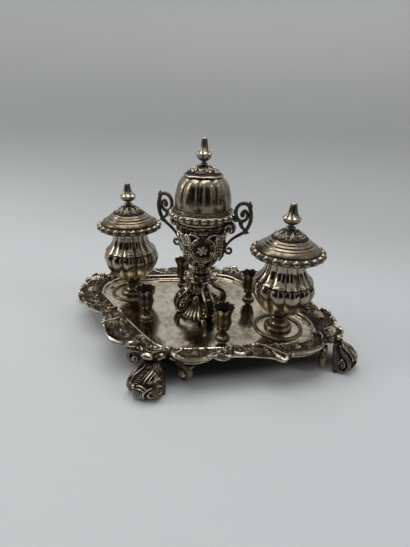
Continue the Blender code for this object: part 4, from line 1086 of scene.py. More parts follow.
def chase_foot(chasing, high):
    """A foot's front, x across it and y up its face from the sole, in metres."""
    mm = 0.001

    def roll(points, wide, lift, number=24):
        path = smooth_line(np.multiply(points, mm), number)
        chasing.roll(path, np.multiply(wide, mm), np.multiply(lift, high))

    # The smooth ridge down the middle, with thin lines beside it
    ridge = ((0.5, 27.0), (0.0, 21.5), (-0.9, 16.5), (-1.6, 12.2))
    roll(ridge, (1.2, 1.1, 0.8, 0.4), (0.85, 1.0, 0.95, 0.7))
    roll(((-1.3, 26.0), (-1.9, 20.5), (-2.9, 15.5), (-3.7, 11.6)), (0.35, 0.4, 0.35), (0.7, 0.85, 0.6))
    roll(((2.0, 26.0), (1.7, 20.5), (0.9, 15.5), (0.6, 12.4)), (0.35, 0.45, 0.4), (0.7, 0.9, 0.8))
    # The pleated band on its left, inside a thin rolled edge
    for step in range(12):
        up = 11.2 + 1.2 * step
        out = -8.4 + 0.36 * step
        inner = -3.6 + 0.14 * step
        roll(((out, up - 0.7), ((out + inner) / 2, up + 0.3), (inner, up + 0.5)), 0.36, (0.5, 0.85, 0.6), 6)
    roll(((-9.7, 9.0), (-9.0, 14.5), (-7.2, 20.0), (-4.6, 26.0)), (0.5, 0.5, 0.4), (0.9, 0.95, 0.7))
    # The toothed leaf on its right
    for step in range(10):
        up = 25.0 - 1.15 * step
        out = 4.2 + 0.24 * step
        tooth = ((1.9 - 0.05 * step, up - 1.6), ((out + 2.0) / 2, up - 0.9), (out, up))
        roll(tooth, 0.34, (0.5, 0.85, 0.9), 6)
    # A bright ball and the doubled bar that gathers the fan
    chasing.bead(-7.3 * mm, 9.2 * mm, 1.5 * mm, high * 1.1)
    roll(((-5.4, 10.4), (-3.2, 11.0), (-0.9, 10.2), (0.7, 8.7)), (0.4, 0.6, 0.4), (0.8, 1.0, 0.9))
    roll(((-5.4, 8.9), (-3.3, 9.4), (-1.4, 8.7), (0.0, 7.4)), (0.35, 0.5, 0.4), (0.8, 1.0, 0.9))
    # The fan of ribs down to the sole
    for foot, head in ((-9.6, -6.0), (-8.0, -5.0), (-6.3, -3.9), (-4.6, -2.8), (-2.9, -1.7), (-1.3, -0.8)):
        rib = ((head, 8.1), ((foot + head) / 2 - 0.3, 4.4), (foot, -1.6))
        roll(rib, (0.3, 0.6, 0.55), (0.8, 1.0, 0.85), 12)
    # The volute at the lower right, and the lines that sweep round it
    turn = np.radians(np.linspace(215, -350, 64))
    reach = np.interp(turn, np.radians([-350, -160, 40, 215]), [1.1, 2.2, 3.4, 4.3])
    volute = np.column_stack([3.3 + reach * np.cos(turn), 5.6 + reach * np.sin(turn)])
    chasing.roll(volute * mm, (0.0004, 0.0007, 0.0006, 0.0005), (0.8 * high, high, high))
    chasing.bead(3.3 * mm, 5.6 * mm, 0.9 * mm, high * 1.1)
    for inset in (0.0, 1.3, 2.5):
        path = ((6.2 - inset, 21.5), (9.2 - inset, 15.5), (10.2 - inset, 9.5), (9.3 - inset, 4.0))
        roll((*path, (6.4 - inset * 0.6, 0.9)), (0.35, 0.55, 0.55, 0.4), (0.7, 1.0, 1.0, 0.7))
    # A small eyed curl over the volute
    for radius in (0.9, 1.7, 2.5):
        turn = np.linspace(-0.4, 3.2, 16)
        arc = np.column_stack([3.9 + radius * np.cos(turn), 12.0 + radius * 0.85 * np.sin(turn)])
        chasing.roll(arc * mm, 0.00032, high * 0.9)
    chasing.bead(3.9 * mm, 11.8 * mm, 0.6 * mm, high)


class INKSTAND_OT_feet(Operator):
    """Four cast leaf feet with a fan, a volute and an eyed scroll on each side"""

    bl_idname = "inkstand.feet"
    bl_label = "Leaf feet"

    def execute(self, context):
        sizes = context.scene.inkstand_tray
        top = FLANGE - sizes.sheet - 0.0003
        outer = smooth_line(np.array(FOOT_OUTER) * (sizes.foot_reach, top), 130)
        inner = spaced(np.array(FOOT_INNER) * (sizes.foot_reach, top), 31)
        section = np.vstack([outer, inner])
        face = len(outer)
        run = travelled(section)

        def place(u, v):
            across = u * 2 - 1
            row = np.rint(v * len(section)).astype(int) % len(section)
            reach, up = section[row, 0], section[row, 1]
            left = 1 - 0.42 * np.abs(across) ** 2.3
            full = np.sqrt(np.clip(1 - np.abs(across) ** 3.2, 0, 1))
            back = np.interp(up, inner[::-1, 1], inner[::-1, 0])
            out = np.where(reach > 0, reach * left, reach)
            out = np.where(row < face, back + (out - back) * (0.10 + 0.90 * full), out)
            wide = sizes.foot_half * (1 - 0.50 * np.clip(up / top, 0, 1) ** 3.2)
            return np.column_stack([out, across * wide, up])

        def relief(points, marks):
            row = np.rint(marks["across"] * len(section)).astype(int) % len(section)
            on_face = (row > 3) & (row < face - 2)
            # The ornament sits a little to the side that the tray's end scrolls face
            chasing = Chasing(points[:, 1] * 1.02 - 0.0042, (run[row] - SOLE_RUN) * 1.02 - 0.0020)
            chase_foot(chasing, 0.0014)
            edge = 1 - ease(np.abs(marks["along"] * 2 - 1), 0.90, 0.985)
            low = ease(run[row], SOLE_RUN - 0.0005, SOLE_RUN + 0.002)
            lift = np.where(on_face, chasing.lift * edge * low, 0)
            recess = np.where(on_face, hollows(chasing.lift, 0.0016) * 1.05, 0.75)
            # Pleats up the cheeks
            pleat = np.abs(np.cos(run[row] * math.pi / PLEAT)) ** 0.8
            recess = np.where(on_face, recess * edge + (1 - edge) * (0.95 - 0.6 * pleat), recess)
            return lift + np.where(on_face, 0.0004 * pleat * (1 - edge), 0), recess

        for name, (quarter, kind) in FOOT_TURNS.items():
            back, spread = FOOT_SCROLLS[kind]
            turn = quarter * math.pi / 2
            tip = TRAY_HALF[kind]
            at = (tip * round(math.cos(turn)), tip * round(math.sin(turn)), 0.0)
            # The face turns with the foot before its relief, so it's pressed first and turned after
            meshes = [self.stood(press(wrap_grid(96, len(section), place), relief), turn, at)]
            for side in (-1, 1):
                # The scrolls lie in the plane behind the foot's face
                strokes = []
                for path, reach, wide, thick, rows, around, crest, depth in FOOT_STROKES:
                    path = np.array(path) * (spread * reach, top)
                    strokes.append((scroll_bar(path, wide, thick, rows, around, crest), depth))
                eye = ball(0.815 * spread * 0.90, 0.0, 0.465 * top, 0.0021, (1.0, 1.15, 1.0))
                for made, depth in (*strokes, (eye, 0.0)):
                    turned_about(made, side * math.pi / 2, (-back, 0.0, 0.0))
                    meshes.append(self.stood(press(made, plain_relief(depth)), turn, at))
                volute = smooth_line(np.array(FOOT_VOLUTE) * (sizes.foot_reach * 0.92, top), 90)
                wide = (0.0012, 0.0018, 0.0020, 0.0018, 0.0012)
                curl = scroll_bar(volute, wide, (0.0008, 0.0012, 0.0012, 0.0009), 110, 12, 0.15)
                pip = ball(0.39 * sizes.foot_reach, 0.0, 0.32 * top, 0.0013, (1.0, 1.5, 1.0))
                for made in (curl, pip):
                    # It leans in as the cheek does
                    for vert in made.verts:
                        share = min(max(vert.co.z / top, 0.0), 1.0)
                        vert.co.y += side * (sizes.foot_half * (1 - 0.50 * share**3.2) - 0.0020)
                    meshes.append(self.stood(press(made, plain_relief(0.25)), turn, at))
            set_down(f"leaf_foot_{name}", meshes, "tray", [f"foot_{name}"], silver("cast"))
        return {"FINISHED"}

    def stood(self, mesh, turn, at):
        """The mesh turned about Z and set under its tip, flat where it meets the table."""
        for vert in mesh.vertices:
            vert.co.z = max(vert.co.z, 0.0)
        mesh.transform(Matrix.Translation(at) @ Matrix.Rotation(turn, 4, "Z"))
        return mesh


def profile(*runs, pitch=0.4):
    """A turned outline from runs of (radius, height over the tray) in millimetres.

    Each run starts where the one before it ended, smooth through its points but straight to a lone one.
    """
    parts = []
    run = np.empty((0, 2))
    for points in runs:
        run = np.vstack([run[-1:], np.reshape(points, (-1, 2))])
        number = max(len(run), int(travelled(run)[-1] / pitch) + 2)
        line = smooth_line(run, number) if len(run) > 2 else run
        parts.append(line[1:] if parts else line)
    return np.vstack(parts) / 1000 + (0.0, TRAY_TOP)


def turned(name, node, line, steps, relief, finish=None, body="tray", at=(0.0, 0.0, 0.0), slot="silver"):
    """A turned piece in place of its CAD node, polished unless it has another finish."""
    mesh = press(turn_on_lathe(line, steps), relief, at)
    set_down(name, [mesh], body, [node], finish or silver("polished"))


def up_mm(points):
    """Heights over the tray in millimetres."""
    return (points[:, 2] - TRAY_TOP) * 1000


def polar(points):
    """Radius and angle of points about Z."""
    return np.hypot(points[:, 0], points[:, 1]), np.arctan2(points[:, 1], points[:, 0])


def folded(angle, number, start=0.0):
    """The angle from the middle of the nearest of so many equal sectors."""
    sector = math.tau / number
    return (angle - start + sector / 2) % sector - sector / 2


def plain_relief(depth):
    """No relief, and the same hollow all over."""

    def relief(points, marks):
        return np.zeros(len(points)), np.full(len(points), depth)

    return relief


def lobed(number, depth, low, high, outer, start=0.0, sharp=0.9):
    """Rounded upright lobes with sharp grooves between, between two heights over the tray."""

    def relief(points, marks):
        up = points[:, 2] - TRAY_TOP
        _, angle = polar(points)
        lobe = np.abs(np.cos((angle - start) * number / 2)) ** sharp
        full = ease(up, low[0], low[1]) * (1 - ease(up, high[0], high[1])) * (marks["along"] < outer)
        lift = -depth * (1 - lobe) * full
        worn = unevenness(points, 0.012, 3) * 0.00006
        return lift + worn * full, 0.75 * full * (1 - lobe) ** 2.2

    return relief


def beaded(number, lift_by, middle, wide, long, radius, start, ground):
    """A row of beads round a turned edge, at a place along its outline."""

    def relief(points, marks):
        _, angle = polar(points)
        across = folded(angle, number, start) * radius
        inside = 1 - (across / wide) ** 2 - ((marks["along"] - middle) / long) ** 2
        bead = np.sqrt(np.clip(inside, 0, 1))
        band = falloff(marks["along"], middle, long * 1.15, 4)
        return lift_by * bead, band * ground * (1 - ease(bead, 0.0, 0.55))

    return relief


def both(*reliefs):
    """Several reliefs one after another."""

    def relief(points, marks):
        found = [one(points, marks) for one in reliefs]
        return sum(lift for lift, _ in found), np.clip(sum(recess for _, recess in found), 0, 1.2)

    return relief


def outline_length(line, stop):
    """How far along an outline its nearest point to a place is, which is in millimetres over the tray."""
    target = np.array(stop) / 1000 + (0.0, TRAY_TOP)
    return travelled(line)[np.argmin(np.linalg.norm(line - target, axis=1))]


def petalled(number, depth, low, high):
    """A finial's petals: soft flutes that end in a pointed lip."""

    def relief(points, marks):
        up = points[:, 2] - TRAY_TOP
        _, angle = polar(points)
        flute = np.abs(np.cos(angle * number / 2)) ** 0.7
        full = ease(up, low, low + 0.0012) * (1 - ease(up, high - 0.003, high))
        return -depth * (1 - flute) * full, 0.55 * (1 - flute) ** 2 * full + 0.5 * (up < low + 0.0004)

    return relief


def finial_line(radius, low, high, stem):
    """A petalled bud on a thin neck, closed by its stem below."""
    tall = high - low

    def run(*points):
        return [(radius * across, low + tall * up) for across, up in points]

    return profile(
        run((0.0, 1.0), (0.16, 0.995), (0.30, 0.97), (0.36, 0.93)),
        run((0.40, 0.84), (0.44, 0.74), (0.53, 0.62), (0.70, 0.51), (0.90, 0.44), (1.02, 0.415)),
        run((1.04, 0.39), (0.96, 0.36)),
        run((0.93, 0.30), (0.80, 0.21), (0.52, 0.145), (0.34, 0.12)),
        run((0.30, 0.085), (0.36, 0.05), (0.52, 0.02), (0.55, 0.0)),
        (1.0, low),
        (1.0, stem),
        (0.0, stem),
        pitch=0.3,
    )


# A lid in steps from the hole in its crown out to its beaded edge, and back along its inside
LID_LINE = (
    ((1.3, 72.6), (2.6, 72.5), (4.0, 71.5), (6.0, 69.7), (8.2, 68.2), (10.4, 66.9)),
    ((10.7, 67.2), (11.2, 67.1), (11.4, 66.5)),
    ((11.8, 65.9), (12.3, 65.8), (12.8, 65.7), (13.2, 65.2)),
    ((13.5, 64.6), (14.0, 64.4), (14.6, 64.2), (15.0, 63.6)),
    ((15.3, 63.0), (15.9, 62.8), (16.5, 62.5), (16.8, 61.9)),
    ((17.4, 62.0), (18.5, 61.4), (19.6, 60.4), (20.3, 59.3)),
    ((20.4, 58.8), (20.8, 58.6)),
    ((21.7, 58.2), (22.6, 57.3), (23.0, 56.3), (22.9, 55.4), (22.4, 54.75)),
    (21.7, 54.8),
    ((21.6, 56.1), (20.4, 57.6), (19.4, 59.1), (17.0, 60.9), (15.0, 62.3), (13.2, 64.0)),
    ((11.0, 65.9), (8.0, 67.2), (4.5, 69.8), (2.4, 71.6), (1.3, 71.7)),
)
# The grooves between its steps: how far out each is, and how dark
LID_GROOVES = ((0.01135, 0.75), (0.0132, 0.25), (0.0150, 0.8), (0.0168, 0.35), (0.02045, 0.8))


class INKSTAND_OT_inkwells(Operator):
    """Two covered inkwells: socket, foot, lobed bowl and neck, glass liner, lid, stopper pan and finial"""

    bl_idname = "inkstand.inkwells"
    bl_label = "Inkwells"

    def execute(self, context):
        for side, (x, y) in INKWELLS.items():
            self.body(context.scene.inkstand_well, side, (x, y, 0.0))
            self.lid(context.scene.inkstand_well, side, (x, y, 0.0))
        return {"FINISHED"}

    def body(self, sizes, side, at):
        """What stays on the tray."""
        ring = profile(
            ((14.4, 0.3), (14.6, 1.0), (15.1, 1.35), (15.6, 1.1)),
            ((15.8, 0.7), (16.0, 0.75)),
            ((16.4, 1.15), (16.9, 1.0), (17.4, 0.3)),
            (14.4, 0.3),
            pitch=0.25,
        )

        # Painted shade in the ring's groove, darkest at its middle, and a little all over
        def ring_groove_shade(points, marks):
            radius, _ = polar(points)
            return np.zeros(len(points)), 0.6 * falloff(radius, 0.0158, 0.0004) + 0.05

        turned(f"socket_ring_{side}", f"well_socket_{side}", ring, 144, ring_groove_shade, at=at)

        foot = profile(
            ((0.0, 12.3), (6.4, 12.3)),
            ((5.6, 11.5), (5.2, 10.6)),
            ((5.9, 10.1), (6.3, 9.3), (5.9, 8.5), (5.2, 8.1)),
            ((4.6, 7.3), (4.55, 6.4), (5.0, 5.2), (5.9, 4.2), (7.1, 3.5)),
            ((7.5, 3.6), (7.9, 3.2)),
            ((8.9, 2.6), (9.6, 1.6), (9.8, 0.3)),
            (1.5, 0.3), (1.5, -4.5), (0.0, -4.5),
            pitch=0.25,
        )

        # The grooves between the pedestal's mouldings darkened: oxide and painted shade
        def foot_grooves_oxide_and_shade(points, marks):
            up = up_mm(points)
            grooves = sum(falloff(up, z, 0.5) for z in (3.5, 8.1, 10.7, 12.2))
            return np.zeros(len(points)), np.clip(grooves * 0.7, 0, 1)

        turned(f"pedestal_{side}", f"well_foot_{side}", foot, 96, foot_grooves_oxide_and_shade, at=at)

        bowl = profile(
            ((0.0, 12.6), (6.6, 12.6)),
            (
                (7.8, 12.9), (10.3, 14.2), (12.9, 16.2), (15.3, 19.0), (17.9, 22.8), (19.9, 26.8),
                (20.8, 30.4), (20.5, 33.2), (19.7, 35.4), (18.9, 36.7), (18.7, 37.0),
            ),
            (17.9, 37.0),
            ((18.0, 35.0), (18.6, 32.5), (18.7, 29.6), (17.4, 25.8), (15.0, 21.8), (12.5, 18.4)),
            ((11.3, 16.2), (9.4, 14.3), (7.0, 13.5), (0.0, 13.4)),
        )
        stop = outline_length(bowl, (18.5, 37.0))
        grooves = lobed(sizes.lobes, sizes.lobe_depth, (0.0132, 0.0210), (0.0365, 0.0372), stop)

        def seam(points, marks):
            up = points[:, 2] - TRAY_TOP
            return np.zeros(len(points)), 0.75 * falloff(up, 0.0371, 0.0006)

        turned(f"bowl_{side}", f"well_bowl_{side}", bowl, 288, both(grooves, seam), at=at)

        neck = profile(
            (
                (18.7, 37.3), (19.3, 37.6), (19.0, 38.3), (17.6, 39.5), (15.1, 42.4), (13.5, 45.8),
                (12.9, 49.6),
            ),
            ((12.8, 51.2), (13.4, 53.6), (14.2, 55.0), (14.3, 56.5)),
            (13.4, 56.5),
            (
                (12.6, 54.4), (11.8, 52.0), (11.7, 49.8), (12.2, 45.9), (13.6, 42.5), (15.9, 39.4),
                (17.8, 37.3),
            ),
            (18.7, 37.3),
        )
        stop = outline_length(neck, (14.3, 56.0))
        grooves = lobed(sizes.lobes, sizes.lobe_depth * 0.55, (0.0369, 0.0374), (0.0545, 0.0565), stop)
        turned(f"neck_{side}", f"well_neck_{side}", neck, 288, both(grooves, seam), at=at)

        glass = profile(
            ((0.0, 13.8), (6.4, 13.8), (8.6, 14.2), (10.6, 15.6), (10.95, 17.6)),
            (11.0, 47.5),
            ((10.8, 47.8), (10.1, 47.8), (9.8, 47.5)),
            (9.75, 18.4),
            ((9.2, 16.6), (6.0, 15.3), (0.0, 15.2)),
            pitch=0.8,
        )
        liner = glass_finish()
        turned(f"liner_{side}", f"well_liner_{side}", glass, 72, None, liner, at=at, slot="liner_glass")
        dress_nodes([f"well_stud_nut_{side}"], steel_finish())

    def lid(self, sizes, side, at):
        """What lifts off."""
        body = f"lid_{side}"
        line = profile(*LID_LINE, pitch=0.3)
        outer = outline_length(line, (22.4, 54.75))
        middle = outline_length(line, (22.5, 57.4))
        beads = beaded(sizes.beads, sizes.bead_lift * 1.1, middle, 0.0019, 0.0023, 0.0225, 0.0, 0.75)

        def crown(points, marks):
            radius, angle = polar(points)
            around = folded(angle, sizes.flowers, 0.4)
            chasing = Chasing(around * 0.0076, radius)
            for reach in (0.0030, 0.0019):
                turn = np.linspace(-0.6, math.pi + 0.6, 30)
                arch = np.column_stack([reach * np.cos(turn), 0.0068 + reach * 0.95 * np.sin(turn)])
                chasing.roll(arch, 0.00045, 0.0011)
            chasing.flower(0.0, 0.0069, 0.0013, 0.0011, 5, 0.3)
            for hand in (-1, 1):
                way = math.pi / 2 - hand * 0.5
                chasing.scroll(hand * 0.0013, 0.0045, way, 0.0070, -hand * 0.5, 0.0005, 0.0010)
                chasing.leaf(hand * 0.0030, 0.0064, 0.0042, 0.0010, math.pi / 2 - hand * 0.2, 0.30, 3.0)
                chasing.bead(hand * 0.0040, 0.0056, 0.0005, 0.0008)
            inside = (radius < 0.0110) & (radius > 0.0033) & (marks["along"] < outer)
            brim = 0.5 * ease(radius, 0.0168, 0.0176) * (marks["along"] < middle - 0.0030)
            steps = falloff(radius, 0.0110, 0.00025)
            for groove, dark in LID_GROOVES:
                steps = steps + dark * falloff(radius, groove, 0.00024)
            lift = np.where(inside, chasing.lift, 0)
            recess = np.where(inside, hollows(chasing.lift, 0.0010) * 0.85, brim)
            return lift, recess + np.clip(steps, 0, 0.8) * (marks["along"] < outer)

        relief = both(crown, beads)
        turned(f"lid_dome_{side}", f"well_lid_{side}", line, 264, relief, silver("lid"), body, at)

        pan = profile(
            ((0.0, 50.0), (11.2, 50.0)),
            ((11.6, 50.2), (11.8, 50.7)),
            (11.8, 56.4),
            ((12.1, 56.75), (20.0, 56.8)),
            ((20.0, 57.3), (11.4, 57.4)),
            ((11.2, 57.0), (11.1, 51.2)),
            ((10.8, 50.8), (0.0, 50.7)),
            pitch=0.5,
        )
        turned(f"stopper_pan_{side}", f"well_stopper_{side}", pan, 96, plain_relief(0.25), None, body, at)

        bud = finial_line(5.8, 72.9, 88.4, 68.5)
        petals = petalled(sizes.petals, 0.00075, 0.0777, 0.0890)
        turned(f"bud_{side}", f"well_finial_{side}", bud, 98, petals, None, body, at)
        dress_nodes([f"well_lid_nut_{side}"], steel_finish())


LEG_PATH = (
    (0.44, 0.95), (0.5, 0.8), (0.68, 0.66), (0.89, 0.54), (1.0, 0.36), (0.96, 0.17), (0.79, 0.085),
    (0.655, 0.15), (0.66, 0.27), (0.76, 0.31),
)
LEG_REACH = 0.0183
STEM_HIGH = 0.0243
# The height of a cartouche's middle over the tray, and how far from it the strewn leaves start
CARTOUCHE_UP = 0.0526
CARTOUCHE_CLEAR = 0.0092
VASE_BODY = ((6.5, 35.7), (7.8, 36.4), (9.6, 38.5), (11.6, 42.3), (13.9, 48.8), (15.6, 56.0), (16.6, 62.0))
VASE_NECK = (
    ((16.9, 62.0), (17.2, 66.2), (17.4, 68.6)),
    ((18.0, 69.0), (18.1, 70.4), (17.6, 71.7)),
    (16.6, 71.7),
    ((15.9, 62.0), (13.3, 50.0), (10.8, 42.8), (8.6, 39.0), (1.5, 36.8)),
    (1.5, 35.7),
    (6.5, 35.7),
)
# The curled lug on each side under the vase's rim and the leaf that droops below it, in metres over the
# tray: path, half widths, half thicknesses, rows and how ridged each is
VASE_LUGS = (
    (
        (
            (0.0160, 0.0585), (0.0172, 0.0625), (0.0180, 0.0668), (0.0199, 0.0692), (0.0221, 0.0683),
            (0.0226, 0.0658), (0.0213, 0.0640), (0.0198, 0.0650), (0.0202, 0.0664),
        ),
        (0.0022, 0.0034, 0.0038, 0.0036, 0.0030),
        (0.0009, 0.0013, 0.0014, 0.0011),
        90,
        0.2,
    ),
    (
        ((0.0155, 0.0590), (0.0164, 0.0560), (0.0163, 0.0510), (0.0152, 0.0455), (0.0132, 0.0415)),
        (0.0012, 0.0030, 0.0034, 0.0024, 0.0006),
        (0.0008, 0.0012, 0.0011, 0.0009, 0.0004),
        60,
        0.25,
    ),
)
# A handle in the X-Z plane, in metres over the tray: its ring, its arm, its volute and the small bracket
HANDLE_RING = (
    (0.0192, 0.0512), (0.0206, 0.0522), (0.0219, 0.051), (0.0215, 0.049), (0.0197, 0.0482),
    (0.0181, 0.0492), (0.0176, 0.0513), (0.0182, 0.0535), (0.0196, 0.0558),
)
HANDLE_ARM = (
    (0.0182, 0.0535), (0.0196, 0.0558), (0.0222, 0.0588), (0.0256, 0.0617), (0.029, 0.0641),
    (0.0314, 0.0666), (0.0332, 0.0702), (0.034, 0.0742), (0.0338, 0.0782), (0.0327, 0.082),
    (0.0316, 0.0838),
)
HANDLE_VOLUTE = (
    (0.032, 0.0832), (0.0296, 0.0842), (0.0264, 0.0834), (0.0242, 0.0808), (0.0235, 0.0774),
    (0.0244, 0.0742), (0.0268, 0.0723), (0.0297, 0.0727), (0.0315, 0.075), (0.0313, 0.0778),
    (0.0296, 0.0794), (0.028, 0.0784),
)
HANDLE_EYE = (0.0282, 0.0768)
HANDLE_BRACKET = (
    (0.0262, 0.0724), (0.0272, 0.0706), (0.0280, 0.0688), (0.0294, 0.0674), (0.0310, 0.0668),
)
# Each stroke's path, its half widths and half thicknesses in shares of the bar's, and its rows. The last
# six are leaf spurs: two at the elbow, two at the top, one inside the volute's foot and one by the rim
HANDLE_STROKES = (
    (HANDLE_RING, (0.8, 0.9, 1.0, 1.0), (0.75, 0.8, 0.8, 0.8), 60),
    (HANDLE_ARM, (0.9, 1.1, 1.3, 1.4, 1.3), (0.85, 0.95, 1.2, 1.25, 1.2), 80),
    (HANDLE_VOLUTE, (1.3, 1.4, 1.4, 1.3, 1.2), (1.2, 1.15, 1.15, 1.05, 1.0), 110),
    (HANDLE_BRACKET, (1.0, 1.3, 1.1, 0.9), (0.8, 1.3, 1.0, 0.8), 30),
    (((0.0308, 0.0664), (0.0322, 0.0652), (0.0336, 0.0652)), (1.3, 1.1, 0.3), (1.5, 1.1, 0.2), 14),
    (((0.0306, 0.0662), (0.0312, 0.0648), (0.0310, 0.0634)), (1.2, 0.9, 0.2), (1.3, 0.9, 0.2), 12),
    (((0.0318, 0.0826), (0.0326, 0.0842), (0.0324, 0.0860)), (1.3, 1.1, 0.2), (1.7, 1.2, 0.2), 14),
    (((0.0326, 0.0812), (0.0338, 0.0826), (0.0343, 0.0838)), (1.2, 0.9, 0.2), (1.3, 0.9, 0.2), 12),
    (((0.0272, 0.0716), (0.0284, 0.0712), (0.0292, 0.0716)), (1.0, 0.8, 0.2), (1.0, 0.8, 0.2), 12),
    (((0.0222, 0.0738), (0.0232, 0.0724), (0.0254, 0.0722)), (1.6, 1.5, 1.1), (1.2, 1.2, 0.9), 16),
)


class INKSTAND_OT_stand(Operator):
    """The urn's stand: four scroll legs, small shells between them, stem, leaf collar and knop"""

    bl_idname = "inkstand.stand"
    bl_label = "Urn stand"

    def execute(self, context):
        at = (0.0, 0.0, TRAY_TOP)
        for leg, name in enumerate(LEG_NAMES):
            turn = math.tau * (leg + 0.5) / 4
            path = np.array(LEG_PATH) * (LEG_REACH, STEM_HIGH)
            wide = (0.0018, 0.0028, 0.0038, 0.0042, 0.0040, 0.0036, 0.0034, 0.0030, 0.0026)
            thick = (0.0012, 0.0014, 0.0014, 0.0014, 0.0015, 0.0014, 0.0013, 0.0012, 0.0010)
            bar = scroll_bar(path, wide, thick, 120, 26)
            length = travelled(smooth_line(path, 60))[-1]

            def leafed(points, marks, length=length):
                along = marks["along"] * length
                side = np.abs(((marks["across"] - 0.75) % 1) - 0.5)
                chasing = Chasing(along, points[:, 1])
                for hand in (-1, 1):
                    path = ((0.0, hand * 0.0013), (length * 0.3, hand * 0.0029), (length, hand * 0.0022))
                    chasing.roll(smooth_line(path, 20), 0.0007, 0.0009)
                for start in (0.0040, 0.0100):
                    chasing.leaf(start, 0.0, 0.0062, 0.0008, 0.0, 0.24, 3.0)
                front = 1 - ease(side, 0.16, 0.30)
                lift = chasing.lift * front
                recess = hollows(chasing.lift, 0.0009) * 1.1 * front + 0.2 * (1 - front)
                return lift, np.clip(recess, 0, 1.1)

            tip = path[-1]
            eye = ball(tip[0] + 0.0001, 0.0, tip[1] - 0.0017, 0.0017, (1.0, 2.2, 1.0))
            meshes = [press(bar, leafed), press(eye, plain_relief(0.0))]
            spin = Matrix.Translation(at) @ Matrix.Rotation(turn, 4, "Z")
            for mesh in meshes:
                mesh.transform(spin)
            set_down(f"scroll_leg_{leg + 1}", meshes, "tray", [name], silver("stand"))
        self.stem(at)
        self.collar(at)
        return {"FINISHED"}

    def stem(self, at):
        """The stem inside the legs, with a shell and a round boss in each gap."""
        line = profile(
            ((7.0, 24.2), (6.9, 23.2), (6.2, 22.2), (5.2, 20.8), (4.5, 19.2), (4.7, 16.5), (5.2, 14.4)),
            ((5.6, 13.4), (5.0, 12.3), (4.0, 10.6), (3.6, 8.0), (4.2, 5.0), (6.2, 3.0), (9.2, 1.9)),
            ((10.4, 1.5), (10.8, 0.9), (10.8, 0.3)),
            (1.5, 0.3), (1.5, 24.2), (7.0, 24.2),
        )
        line[:, 1] -= TRAY_TOP
        stop = 0.036

        def leaves(points, marks):
            radius, angle = polar(points)
            around = folded(angle, 8)
            chasing = Chasing(around * 0.0055, points[:, 2])
            chasing.leaf(0.0, 0.0120, 0.0105, 0.0010, math.pi / 2, 0.30, 4.0)
            chasing.leaf(0.0, 0.0020, 0.0085, 0.0010, math.pi / 2, 0.30, 4.0)
            on = (marks["along"] < stop) & (radius > 0.003)
            return np.where(on, chasing.lift, 0), np.where(on, hollows(chasing.lift, 0.0009), 0.3)

        meshes = [press(turn_on_lathe(line, 160), leaves)]
        for gap in range(4):
            turn = Matrix.Rotation(gap * math.pi / 2, 4, "Z")
            # A small shell that stands on the tray, leaning back on the stem
            rows, around = 40, 36

            def place(u, v, rows=rows):
                across = u * 2 - 1
                up = np.where(v < 0.5, v * 2, 2 - v * 2)
                face = v < 0.5
                z = 0.0004 + up * 0.0104
                y = across * (0.0016 + 0.0060 * (1 - up) ** 1.4)
                flare = 0.0012 * np.abs(np.cos(across * 2.5 * math.pi)) * (1 - up) ** 3
                x = 0.0104 + 0.0064 * (1 - up) ** 2 + flare - 0.0030 * across**2
                return np.column_stack([np.where(face, x, x - 0.0010), y, z])

            def ribs(points, marks):
                across = marks["along"] * 2 - 1
                face = marks["across"] < 0.5
                rib = np.abs(np.cos(across * 2.5 * math.pi)) ** 0.6
                return np.where(face, 0.0009 * rib, 0), np.where(face, 0.95 * (1 - rib), 0.5)

            shell = press(wrap_grid(rows, around, place), ribs)
            ring = bent_path((0.0, 0.0030), 0.0, 0.0170, (-1.1, -1.3, -1.9, -3.2), 60)
            wide = (0.0007, 0.0009, 0.0008, 0.0005)
            hoop = scroll_bar(ring, wide, (0.0006, 0.0008, 0.0007, 0.0004), 70, 10)
            pip = ball(*np.insert(ring[-1], 1, 0.0), 0.0011, (1.0, 1.4, 1.0))
            # The boss is a small curled scroll that faces outwards from the stem
            for made in (hoop, pip):
                turned_about(made, math.pi / 2, (0.0092, 0.0, 0.0112))
            for mesh in (shell, press(hoop, plain_relief(0.3)), press(pip, plain_relief(0.1))):
                mesh.transform(turn)
                meshes.append(mesh)
        for mesh in meshes:
            mesh.transform(Matrix.Translation(at))
        set_down("stem", meshes, "tray", ["urn_stem"], silver("stand"))

    def collar(self, at):
        """The upturned leaf disc and the knop over it."""
        line = profile(
            ((6.6, 28.3), (8.0, 27.7), (9.4, 26.9), (10.9, 26.6), (12.1, 26.9)),
            ((12.4, 26.6), (12.1, 26.1)),
            ((10.8, 25.6), (8.8, 25.0), (7.6, 24.6)),
            (1.5, 24.6), (1.5, 28.3), (6.6, 28.3),
            pitch=0.22,
        )

        def leaves(points, marks):
            radius, angle = polar(points)
            lobe = np.abs(np.cos(angle * 4)) ** 0.6
            outer = ease(radius, 0.0068, 0.0118) * (marks["along"] < 0.0135)
            vein = 0.5 + 0.5 * np.cos(angle * 40)
            lift = outer * (0.0006 * lobe - 0.0009 * (1 - lobe) + 0.0002 * vein)
            return lift, np.clip(outer * (1 - lobe) * 0.9 + 0.3 * (1 - vein) * outer + 0.15, 0, 1)

        bm = turn_on_lathe(line, 288)
        for vert in bm.verts:
            angle = math.atan2(vert.co.y, vert.co.x)
            out = max(math.hypot(vert.co.x, vert.co.y) - 0.0070, 0.0) / 0.0054
            vert.co.z += out * out * (0.0005 * math.cos(angle * 8) + 0.0004 * math.cos(angle * 4 + 0.7))
            vert.co.xy *= 1 + 0.035 * min(out, 1) * math.cos(angle * 8)
        finish = silver("stand")
        set_down("leaf_collar", [press(bm, leaves)], "tray", ["urn_collar"], finish)

        line = profile(
            ((6.2, 35.4), (5.3, 34.6), (4.9, 33.6)),
            ((5.6, 33.1), (6.5, 32.4), (6.5, 31.6), (5.8, 31.0)),
            ((5.2, 30.6), (6.2, 30.0), (7.8, 29.4), (8.2, 28.6)),
            (1.5, 28.6), (1.5, 35.4), (6.2, 35.4),
            pitch=0.22,
        )

